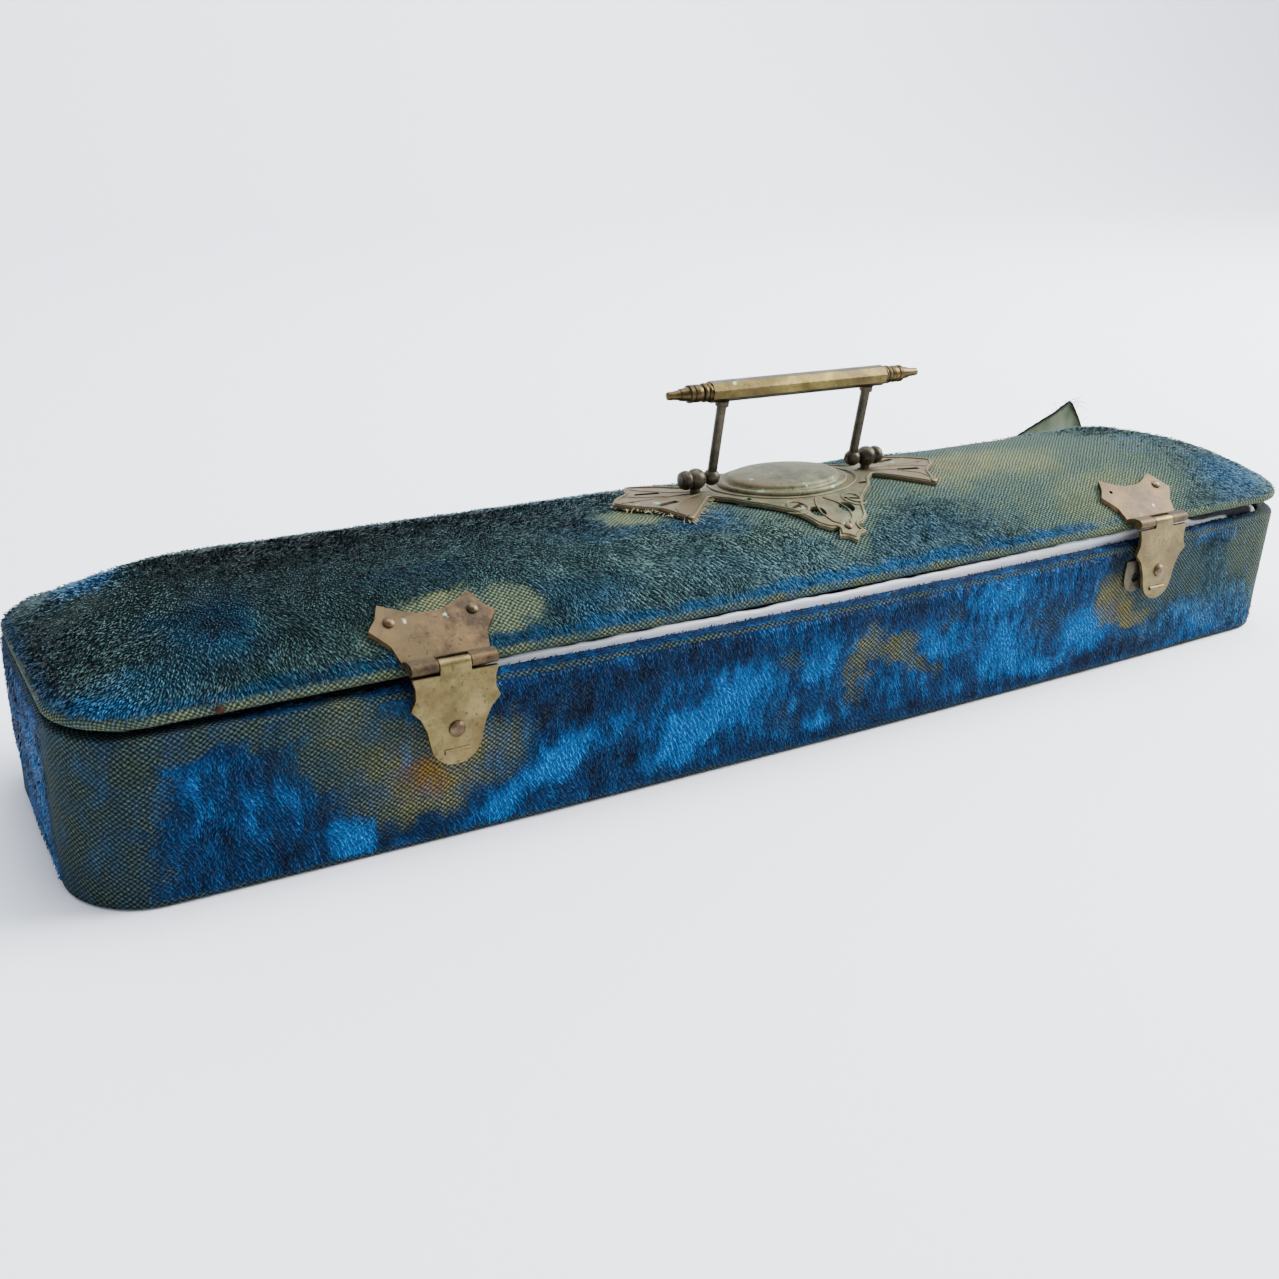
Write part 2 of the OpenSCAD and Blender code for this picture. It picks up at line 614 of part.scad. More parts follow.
plate_nail_places = [[0, -0.87 * tongue_reach], [0, 0.87 * tongue_reach],
                     [-(wing_reach - 12), -14], [wing_reach - 12, -14]];
module plate_holes() {
    // Slots in the wings, piercings beside the tongues, and nail holes
    for (sx = [-1, 1], sy = [-1, 1]) {
        translate([sx * (wing_reach - 12), sy * 4.6]) rotate(sx * sy * 12)
            square([6, 1.6], center = true);
        translate([sx * 4.2, sy * 0.66 * tongue_reach]) circle(2, $fn = 24);
        translate([sx * 8, sy * 16.2]) rotate(sx * sy * 20) square([4, 0.9], center = true);
        translate([sx * 17.4, sy * 9.3]) square([2.6, 1.2], center = true);
    }
    for (sx = [-1, 1]) translate([sx * (wing_reach - 5), 0]) circle(0.7, $fn = 24);
}

module handle_plate() color("darkkhaki") {
    difference() {
        intersection() {
            along_x(handle_x - wing_reach - 1, handle_x + wing_reach + 1)
                translate([0, seat_gap])
                    crown_strip(handle_x, -tongue_reach - 1, tongue_reach + 1, plate_sheet);
            translate([handle_x, 0, 0]) linear_extrude(4 * base_height) difference() {
                polygon(plate_outline());
                plate_holes();
            }
        }
        for (side = [-1, 1]) translate([handle_x + side * ball_spacing / 2, 0, base_height])
            cylinder(d = lug_stem_d + 2 * running_gap, h = base_height, $fn = 24);
        for (p = plate_nail_places)
            crown_nail_hole(handle_x + p.x, p.y, handle_x, plate_rise);
    }
    // The stepped ring and the raised oval
    translate([handle_x, 0, plate_top - 0.3]) {
        linear_extrude(0.9) polygon(ellipse(oval_x + 2.6, oval_y + 2));
        translate([0, 0, 0.8]) linear_extrude(oval_rise * 0.5)
            polygon(ellipse(oval_x, oval_y));
        translate([0, 0, 0.8 + oval_rise * 0.45]) linear_extrude(oval_rise * 0.3)
            polygon(ellipse(oval_x - 1.2, oval_y - 1));
        translate([0, 0, 0.8 + oval_rise * 0.7]) linear_extrude(oval_rise * 0.2)
            polygon(ellipse(oval_x - 4, oval_y - 3));
    }
}

module plate_nails() color("sienna")
    for (p = plate_nail_places) on_crown(handle_x + p.x, p.y, handle_x, plate_rise) nail(2, 5);

// HANDLE

pivot_z = plate_top + pivot_rise;
eye_d = 4;
knob_d = 3.8;
knob_length = 1.5;

// A lug: a stem through the plate, a ball, an outboard knob and the pin of the pivot
module pivot_lug(side) translate([handle_x + side * ball_spacing / 2, 0, pivot_z]) {
    stem_foot = lid_top(handle_x + side * ball_spacing / 2, 0) + seat_gap - pivot_z;
    translate([0, 0, stem_foot]) cylinder(d = lug_stem_d, h = -stem_foot);
    sphere(d = ball_d);
    inner = (ball_spacing - post_spacing) / 2 + eye_d / 2;
    mirror([side > 0 ? 0 : 1, 0, 0]) {
        rod_x(-inner, 0, pivot_pin_d);
        rod_x(0, ball_d / 2 + 0.2, ball_d * 0.6);
        rod_x(ball_d / 2, ball_d / 2 + knob_length, knob_d);
    }
}
module pivot_lug_left() color("dimgray") pivot_lug(-1);
module pivot_lug_right() color("dimgray") pivot_lug(1);

// Everything on the bail is drawn upright from its pivot, then leans forward
module bail() translate([handle_x, 0, pivot_z]) rotate([handle_lean, 0, 0]) children();

bar_bore_d = bar_flats - 1.6;
module handle_bar() color("peru") bail()
    translate([0, 0, handle_height]) difference() {
        rotate([0, 90, 0]) rotate(22.5)
            cylinder(d = bar_flats / cos(22.5), h = bar_length, center = true, $fn = 8);
        rod_x(-bar_length, bar_length, bar_bore_d);
        for (side = [-1, 1]) translate([side * post_spacing / 2, 0, -bar_flats])
            cylinder(d = post_d + 2 * running_gap, h = bar_flats);
    }

// A turned end: tenon, two collars, a drum, a third collar, a stepped cone and its tip
module finial(side) bail() translate([side * bar_length / 2, 0, handle_height])
    rotate([0, 90 * side, 0]) {
        f = finial_length / 11.4;
        translate([0, 0, -5]) cylinder(d = bar_bore_d - 2 * running_gap, h = 5.1);
        rotate_extrude() polygon([[0, 0], [2.15, 0], [2.25, 0.5 * f], [2.1, 0.9 * f],
            [1.85, f], [2.15, 1.25 * f], [2.2, 1.7 * f], [2.05, 2.1 * f], [1.7, 2.25 * f],
            [1.95, 2.6 * f], [2.05, 3.4 * f], [2, 4.4 * f], [1.8, 4.6 * f], [2.05, 4.8 * f],
            [2.05, 5.7 * f], [1.6, 5.9 * f], [1.35, 8 * f], [1.15, 8.1 * f], [0.95, 10.2 * f],
            [1, 10.3 * f], [0.9, 11.1 * f], [0, 11.4 * f]]);
    }
module finial_left() color("peru") finial(-1);
module finial_right() color("peru") finial(1);

// A post with its eye below, a bead at mid height and a tenon in the bar
module post(side) bail() translate([side * post_spacing / 2, 0, 0]) difference() {
    union() {
        sphere(d = eye_d);
        cylinder(d = post_d, h = handle_height - bar_bore_d / 2);
        translate([0, 0, handle_height - bar_flats / 2 - 1.2]) cylinder(d = post_d + 0.9, h = 1.2);
    }
    rod_x(-eye_d, eye_d, pivot_pin_d + 2 * running_gap);
    for (s = [-1, 1]) translate([s * (eye_d / 2 + eye_d * 0.42), 0, 0])
        cube([eye_d, eye_d * 1.1, eye_d * 1.1], center = true);
}
module post_left() color("dimgray") post(-1);
module post_right() color("dimgray") post(1);

// The lid's half of a back hinge: one knuckle and a leaf bent over the lid's back edge
module hinge_leaf_lid(x) {
    thickness = hinge_sheet * leaf_slope;
    edge_y = half_width - 0.2;
    inner = hinge_width / 2 - hinge_outer - edge_gap;
    difference() {
        union() {
            along_x(x - hinge_width / 2, x + hinge_width / 2)
                crown_strip(x, edge_y - hinge_leaf, edge_y, thickness);
            along_x(x - inner, x + inner) polygon([
                [hinge_pin_y, hinge_pin_z], [hinge_pin_y + hinge_knuckle_d / 2, hinge_pin_z],
                [hinge_pin_y + hinge_knuckle_d / 2, hinge_pin_z + 1.2],
                [edge_y, lid_top(x, edge_y) + seat_gap + thickness],
                [edge_y - 0.1, lid_top(x, edge_y - 0.1) + seat_gap],
                [half_width + seat_gap, lid_top(x, edge_y) - 0.2],
                [half_width + seat_gap, hinge_pin_z]]);
            hinge_knuckle(x - inner, x + inner);
        }
        hinge_bore();
        for (side = [-1, 1])
            crown_nail_hole(x + side * hinge_nail_x, hinge_nail_y, x, thickness);
    }
}
module hinge_leaf_lid_left() color("peru") hinge_leaf_lid(-hinge_x);
module hinge_leaf_lid_right() color("peru") hinge_leaf_lid(hinge_x);
module hinge_nails_lid() color("saddlebrown")
    for (x = [-hinge_x, hinge_x], side = [-1, 1])
        on_crown(x + side * hinge_nail_x, hinge_nail_y, x, hinge_sheet * leaf_slope) nail(2, 5);

base_wall();
base_floor();
base_cover();
bottom_cover();
lining_front();
lining_back();
lining_left();
lining_right();
floor_pad();
keeper_left();
keeper_right();
keeper_nails();
hinge_leaf_base_left();
hinge_leaf_base_right();
hinge_pin_left();
hinge_pin_right();
hinge_nails_base();
lid_board();
lid_cover();
lid_lining();
torn_flap();
handle_plate();
pivot_lug_left();
pivot_lug_right();
plate_nails();
clasp_leaf_left();
clasp_leaf_right();
clasp_pin_left();
clasp_pin_right();
clasp_nails();
rim_nail();
hinge_leaf_lid_left();
hinge_leaf_lid_right();
hinge_nails_lid();
hasp_left();
hasp_right();
stud_left();
stud_right();
handle_bar();
finial_left();
finial_right();
post_left();
post_right();
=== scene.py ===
"""A long velvet-covered box of the dressing table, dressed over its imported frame, in metres."""
from math import cos, hypot, pi, radians, sin

import bmesh
import bpy
import numpy as np
from mathutils import Matrix, Vector, noise
from mathutils.bvhtree import BVHTree


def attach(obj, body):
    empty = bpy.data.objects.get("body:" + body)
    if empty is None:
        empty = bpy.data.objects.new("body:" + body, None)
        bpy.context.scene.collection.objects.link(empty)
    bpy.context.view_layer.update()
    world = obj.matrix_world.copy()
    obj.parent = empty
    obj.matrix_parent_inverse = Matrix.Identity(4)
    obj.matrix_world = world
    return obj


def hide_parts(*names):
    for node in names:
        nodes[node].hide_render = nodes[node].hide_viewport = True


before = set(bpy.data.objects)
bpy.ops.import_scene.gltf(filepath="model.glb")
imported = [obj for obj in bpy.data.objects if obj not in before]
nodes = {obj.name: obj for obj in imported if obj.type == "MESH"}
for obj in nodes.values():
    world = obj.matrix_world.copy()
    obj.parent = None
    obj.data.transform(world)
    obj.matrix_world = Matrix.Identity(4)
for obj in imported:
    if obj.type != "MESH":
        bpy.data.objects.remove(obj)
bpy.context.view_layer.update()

# CAMERA
# A phone's main lens, held above the box's front left corner and turned a little clockwise.
# Its place and angles were solved from the box's straight edges, so the frame is square on them.
camera_place = (-0.192521, -0.258337, 0.143837)
camera_yaw, camera_pitch, camera_roll = radians(-32.248), radians(67.353), radians(2.339)
camera_data = bpy.data.cameras.new("camera")
camera_data.sensor_fit = "HORIZONTAL"
camera_data.sensor_width = 36
camera_data.lens = 39.063
camera_data.clip_start = 0.01
camera = bpy.data.objects.new("camera", camera_data)
camera.matrix_world = (Matrix.Translation(camera_place)
                       @ Matrix.Rotation(camera_yaw, 4, "Z")
                       @ Matrix.Rotation(camera_pitch, 4, "X")
                       @ Matrix.Rotation(camera_roll, 4, "Z"))
bpy.context.scene.collection.objects.link(camera)
bpy.context.scene.camera = camera

# FLOOR AND LIGHT
# A sheet of white card that curves up behind the box, in soft light from a window on the right.
# The card gives the pale, slightly cool ground of the photograph.


def linear(code):
    """An sRGB hex colour as Blender's linear one."""
    parts = [int(code[i:i + 2], 16) / 255 for i in (1, 3, 5)]
    return (*[c / 12.92 if c <= 0.04045 else ((c + 0.055) / 1.055) ** 2.4 for c in parts], 1)


def add(tree, kind, inputs=None, output=0, **settings):
    """Adds a node to a material's tree and gives its output. Inputs are values, or the sockets
    to link. Every Mix is one of colours."""
    made = tree.nodes.new("ShaderNode" + kind)
    if kind == "Mix":
        made.data_type, output = "RGBA", 2
    for name, value in settings.items():
        setattr(made, name, value)
    for name, value in (inputs or {}).items():
        if isinstance(value, bpy.types.NodeSocket):
            tree.links.new(value, made.inputs[name])
        else:
            made.inputs[name].default_value = value
    return made.outputs[output]


def material(name):
    """A new material: its tree without nodes, and its output."""
    made = bpy.data.materials.new(name)
    made.use_nodes = True
    made.node_tree.nodes.clear()
    return made, made.node_tree, made.node_tree.nodes.new("ShaderNodeOutputMaterial")


def piece(name, points, faces, finish, smooth=True, turned=True):
    """A mesh object with one material. Turned makes all its faces look outwards."""
    mesh = bpy.data.meshes.new(name)
    mesh.from_pydata([tuple(p) for p in points], [], faces)
    if turned:
        whole = bmesh.new()
        whole.from_mesh(mesh)
        bmesh.ops.recalc_face_normals(whole, faces=whole.faces)
        whole.to_mesh(mesh)
        whole.free()
    mesh.materials.append(finish)
    mesh.polygons.foreach_set("use_smooth", [smooth] * len(mesh.polygons))
    made = bpy.data.objects.new(name, mesh)
    bpy.context.scene.collection.objects.link(made)
    return made


def white_card():
    """Matt white card with the faintest cloudiness."""
    made, tree, out = material("white card")
    place = add(tree, "TexCoord", output="Object")
    cloud = add(tree, "TexNoise", {"Vector": place, "Scale": 3.0, "Detail": 2.0})
    tint = add(tree, "Mix", {0: cloud, 6: linear("#f8faff"), 7: linear("#fcfdff")})
    shader = add(tree, "BsdfPrincipled", {"Base Color": tint, "Roughness": 0.9})
    tree.links.new(shader, out.inputs["Surface"])
    return made


floor_half, cove_y, cove_radius, wall_top = 4.0, 1.4, 0.5, 3.0
profile = [(-2.0, 0), (-0.6, 0), (0.6, 0), (cove_y - cove_radius, 0)]
for i in range(1, 13):
    angle = pi / 2 * i / 12
    profile.append((cove_y + cove_radius * (sin(angle) - 1), cove_radius * (1 - cos(angle))))
profile.append((cove_y, wall_top))
floor = piece("floor", [(x, y, z - 0.0001) for y, z in profile for x in (-floor_half, floor_half)],
              [(2 * i, 2 * i + 1, 2 * i + 3, 2 * i + 2) for i in range(len(profile) - 1)],
              white_card())

world = bpy.data.worlds.new("room")
world.use_nodes = True
world.node_tree.nodes["Background"].inputs["Color"].default_value = linear("#e4ecfa")
world.node_tree.nodes["Background"].inputs["Strength"].default_value = 0.88
bpy.context.scene.world = world


def lamp(name, place, target, size, power, colour):
    """A square soft light that looks at its target."""
    data = bpy.data.lights.new(name, "AREA")
    data.shape = "SQUARE"
    data.size = size
    data.energy = power
    data.color = linear(colour)[:3]
    made = bpy.data.objects.new(name, data)
    made.location = place
    made.rotation_euler = (Vector(target) - Vector(place)).to_track_quat("-Z", "Y").to_euler()
    bpy.context.scene.collection.objects.link(made)


lamp("window", (1.25, -0.3, 0.85), (0, 0, 0.02), 0.7, 62, "#fbfbfc")
lamp("ceiling", (0.35, 0.05, 1.4), (0.15, 0, 0), 1.1, 36, "#eff4ff")
lamp("wall", (2.4, 0.2, 1.9), (2.4, 1.4, 0.7), 1.0, 40, "#f3f6ff")

# BASE VELVET
# Blue silk velvet on a cotton ground, glued over the wooden wall and turned down inside the rim.
# A century of handling has rubbed the pile off its corners and edges and round the brass, where
# the plain weave shows through. Elsewhere each tuft stands in its own crossing of the threads.
MM = 0.001
half_length, half_width, base_height = 165.0, 35.5, 34.0
corner_radius, rim_bow, foot_bow = 15.5, 5.3, 2.6
velvet_thick, turn_in_depth = 1.0, 6.0
# The spacing of the threads along the front and up it
thread_u, thread_v = 0.605, 0.51


def plan(end_inset, side_inset, bow, radius, steps):
    """A rounded rectangle in millimetres whose front side bows out. Steps are the numbers of
    points along a side, round a corner and along an end."""
    a, b = half_length - end_inset, half_width - side_inset
    r = min(radius, 0.95 * b)
    x, y = a - r, b - r
    along, around, across = (np.linspace(-1, 1, n, endpoint=False)[1:] for n in steps)
    turn = np.linspace(0, pi / 2, steps[1])
    rows = [np.stack([x * along, 0 * along - b], 1),
            np.stack([x + r * np.sin(turn), -y - r * np.cos(turn)], 1),
            np.stack([0 * across + a, y * across], 1),
            np.stack([x + r * np.cos(turn), y + r * np.sin(turn)], 1),
            np.stack([-x * along, 0 * along + b], 1),
            np.stack([-x - r * np.sin(turn), y + r * np.cos(turn)], 1),
            np.stack([0 * across - a, -y * across], 1),
            np.stack([-x - r * np.cos(turn), -y - r * np.sin(turn)], 1)]
    ring = np.concatenate(rows)
    ring[:, 1] -= np.where(ring[:, 1] < 0, bow * (1 - (ring[:, 0] / a) ** 2), 0)
    return ring


def wall_bow(z):
    """How far the front of the base bows out at a height."""
    return foot_bow + (rim_bow - foot_bow) * z / base_height


def smooth(x):
    """Nothing below 0, everything above 1, and an even curve between."""
    x = np.clip(x, 0, 1)
    return x * x * (3 - 2 * x)


def patches(u, v, marks):
    """How much soft-edged oval patches cover each point. A mark is the patch's middle, half
    length and half width in millimetres, its turn in degrees and its strength."""
    cover = np.zeros(np.shape(u))
    for mid_u, mid_v, long_half, short_half, turn, strength in marks:
        c, s = cos(radians(turn)), sin(radians(turn))
        du, dv = u - mid_u, v - mid_v
        reach = np.hypot((du * c + dv * s) / long_half, (dv * c - du * s) / short_half)
        cover += strength * smooth((1.65 - reach) / 1.25)
    return cover


def ripple(points, size, seed):
    """Smooth seeded noise from -1 to 1, of features about size millimetres across."""
    shift = Vector((seed, 3.7 * seed, 1.3 * seed))
    return np.array([noise.noise(Vector(p) / size + shift) for p in points])


def ragged(points, u, v, seed):
    """Flat coordinates pulled about, so that no patch keeps an even outline."""
    return (u + 5 * ripple(points, 11, seed) + 2.6 * ripple(points, 3.2, seed + 1),
            v + 3.4 * ripple(points, 9, seed + 2) + 2.0 * ripple(points, 2.6, seed + 3))


def skin(rings):
    """Faces between rings of equal numbers of points that close on themselves."""
    count, n = len(rings), len(rings[0])
    return [(i * n + j, i * n + (j + 1) % n, (i + 1) % count * n + (j + 1) % n,
             (i + 1) % count * n + j) for i in range(count) for j in range(n)]


def give(made, **values):
    """Writes one number a point for the material to read."""
    for name, numbers in values.items():
        held = made.data.attributes.new(name, "FLOAT", "POINT")
        held.data.foreach_set("value", np.asarray(numbers, dtype=np.float32))


def give_map(made, name, u, v):
    """Writes flat coordinates, one pair a point, as a UV map."""
    held = made.data.uv_layers.new(name=name)
    corner_point = np.empty(len(made.data.loops), dtype=np.int32)
    made.data.loops.foreach_get("vertex_index", corner_point)
    held.data.foreach_set("uv", np.stack([u[corner_point], v[corner_point]], 1).ravel())


def points_of(made):
    """A mesh's points in millimetres, and their normals."""
    count = len(made.data.vertices)
    where, out = np.empty(3 * count), np.empty(3 * count)
    made.data.vertices.foreach_get("co", where)
    made.data.vertex_normals.foreach_get("vector", out)
    return where.reshape(-1, 3) / MM, out.reshape(-1, 3)


def raise_pile(made, height):
    """Moves each point out from its surface, by a height in millimetres."""
    where, out = points_of(made)
    made.data.vertices.foreach_set("co", ((where + out * height[:, None]) * MM).ravel())
    made.data.update()


def unit(rows):
    """Each row made one long."""
    return rows / np.maximum(np.linalg.norm(rows, axis=1, keepdims=True), 1e-9)


def toward(first, second, angle):
    """First turned towards second by an angle, row by row."""
    return first * np.cos(angle)[:, None] + second * np.sin(angle)[:, None]


def dyed_lit_and_shaded(tree, place, tone, fade, blues, faded):
    """The velvet's colour as a pair: in the shade between its tufts, and on their lit tips. It
    is patchy over about 3 mm, as place is in millimetres."""
    patchy = add(tree, "TexNoise", {"Vector": place, "Scale": 0.3, "Detail": 5.0,
                                    "Roughness": 0.65})
    patchy = add(tree, "Math", {0: patchy, 1: 1.5, 2: -0.75}, operation="MULTIPLY_ADD")
    # Its level adds the painted sheen and shade patches to the dye's random patchiness.
    level = add(tree, "Math", {0: patchy, 1: tone}, operation="ADD")
    darker = add(tree, "MapRange", {0: level, 1: -1.0, 2: 0.0})
    lighter = add(tree, "MapRange", {0: level, 1: 0.0, 2: 1.0})
    # The two copies are painted shade at the tufts' feet and painted light on their tips.
    pair = []
    for k in (0, 1):
        lit_shaded_dyes = []
        for low, mid, high in (blues, faded):
            lit_shaded_dye = add(tree, "Mix", {0: darker, 6: linear(low[k]), 7: linear(mid[k])})
            lit_shaded_dyes.append(add(tree, "Mix", {0: lighter, 6: lit_shaded_dye, 7: linear(high[k])}))
        pair.append(add(tree, "Mix", {0: fade, 6: lit_shaded_dyes[0], 7: lit_shaded_dyes[1]}))
    return pair


def read(tree, *names):
    """The numbers that give() wrote, by name."""
    return [add(tree, "Attribute", output="Fac", attribute_name=n) for n in names]


def woven(tree, place, *axes):
    """A plain weave's height from -1 to 1: warp and weft take turns on top. The axes run along
    the two sets of threads, each of length pi over its spacing."""
    waves = []
    for axis in axes:
        turn = add(tree, "VectorMath", {0: place, 1: axis}, "Value", operation="DOT_PRODUCT")
        waves.append(add(tree, "Math", {0: turn}, operation="COSINE"))
    return add(tree, "Math", {0: waves[0], 1: waves[1]}, operation="MULTIPLY")


def ground(name, blues, faded, threads, stained, rust):
    """The velvet's cotton ground. Under the pile it takes the painted shade of the tufts' feet. Where
    the pile is gone, its plain weave shows at its real thread spacing, with painted shade between
    the threads and painted light on their tops."""
    made, tree, out = material(name)
    place = add(tree, "UVMap", uv_map="cloth")
    bare, tone, fade, stain = read(tree, "bare", "tone", "fade", "stain")

    # No two threads of the weave are quite alike
    shaken = add(tree, "TexNoise", {"Vector": place, "Scale": 0.35, "Detail": 3.0}, "Color")
    shaken = add(tree, "VectorMath", {0: shaken, "Scale": 0.9}, operation="SCALE")
    drawn = add(tree, "VectorMath", {0: place, 1: shaken}, operation="ADD")
    weave = woven(tree, drawn, (pi / thread_u, 0, 0), (0, pi / thread_v, 0))
    fuzz = add(tree, "TexNoise", {"Vector": place, "Scale": 2.2, "Detail": 4.0, "Roughness": 0.7})
    fuzz = add(tree, "Math", {0: fuzz, 1: 2.6, 2: -1.3}, operation="MULTIPLY_ADD")
    over = add(tree, "Math", {0: weave, 1: 0.62, 2: fuzz}, operation="MULTIPLY_ADD")
    over = add(tree, "MapRange", {0: over, 1: -0.7, 2: 0.75})
    over = add(tree, "Math", {0: over, 1: 2.4}, operation="POWER")

    # How worn it is, with a ragged edge
    frayed = add(tree, "TexNoise", {"Vector": place, "Scale": 0.8, "Detail": 6.0, "Roughness": 0.7})
    worn = add(tree, "Math", {0: frayed, 1: 1.3, 2: -0.65}, operation="MULTIPLY_ADD")
    worn = add(tree, "Math", {0: worn, 1: bare}, operation="ADD")
    worn = add(tree, "MapRange", {0: worn, 1: 0.15, 2: 0.75}, interpolation_type="SMOOTHSTEP")

    lit_shaded_dye = dyed_lit_and_shaded(tree, place, tone, fade, blues, faded)
    # Under the pile: painted shade, lifted a little towards painted light where a thread lies on top
    lit = add(tree, "MapRange", {0: over, 3: 0.0, 4: 0.55})
    pile_colour = add(tree, "Mix", {0: lit, 6: lit_shaded_dye[0], 7: lit_shaded_dye[1]})
    cloud = add(tree, "TexNoise", {"Vector": place, "Scale": 0.16, "Detail": 4.0})
    soiled = add(tree, "MapRange", {0: cloud, 1: 0.35, 2: 0.65, 3: 0.0, 4: 0.45})
    yellowed = add(tree, "MapRange", {0: stain, 1: 0.0, 2: 0.7})
    rusted = add(tree, "MapRange", {0: stain, 1: 0.8, 2: 1.5})
    # Each bare thread colour comes twice: painted shade for the gaps and painted light for the tops
    # of the threads
    pair = []
    for k in (0, 1):
        thread = add(tree, "Mix", {0: yellowed, 6: linear(threads[k]), 7: linear(stained[k])})
        thread = add(tree, "Mix", {0: rusted, 6: thread, 7: linear(rust[k])})
        pair.append(add(tree, "Mix", {0: soiled, 6: thread, 7: lit_shaded_dye[k]}))
    thread_colour = add(tree, "Mix", {0: over, 6: pair[0], 7: pair[1]})
    colour = add(tree, "Mix", {0: worn, 6: pile_colour, 7: thread_colour})
    bump = add(tree, "Bump", {"Height": over, "Strength": 0.7, "Distance": 0.0003})
    shader = add(tree, "BsdfPrincipled", {
        "Base Color": colour, "Normal": bump, "Roughness": 0.9, "Specular IOR Level": 0.1})
    tree.links.new(shader, out.inputs["Surface"])
    return made


def pile(name, blues, faded):
    """Cut silk pile, a little shiny: painted shade at the foot of each tuft, painted light towards
    its tip.
    """
    made, tree, out = material(name)
    place = add(tree, "VectorMath", {0: add(tree, "TexCoord", output="Object"),
                                     1: (1 / MM, 1 / MM, 1 / MM)}, operation="MULTIPLY")
    tone, fade, along, lot = read(tree, "tone", "fade", "along", "lot")
    lit_shaded_dye = dyed_lit_and_shaded(tree, place, tone, fade, blues, faded)
    # Painted light grows from each tuft's foot to its tip, more on some tufts and along some lines
    # than others
    light = add(tree, "Math", {0: lot, 1: 1.3, 2: -0.74}, operation="MULTIPLY_ADD")
    light = add(tree, "Math", {0: along, 1: light}, operation="ADD", use_clamp=True)
    colour = add(tree, "Mix", {0: light, 6: lit_shaded_dye[0], 7: lit_shaded_dye[1]})
    shader = add(tree, "BsdfPrincipled", {
        "Base Color": colour, "Roughness": 0.5, "Specular IOR Level": 0.12})
    tree.links.new(shader, out.inputs["Surface"])
    return made


def metal_shell(*names):
    """The named CAD nodes as one thing that rays can hit, in millimetres."""
    points, faces = [], []
    for name in names:
        mesh = nodes[name].data
        start = len(points)
        points += [v.co / MM for v in mesh.vertices]
        faces += [[start + i for i in face.vertices] for face in mesh.polygons]
    return BVHTree.FromPolygons(points, faces)


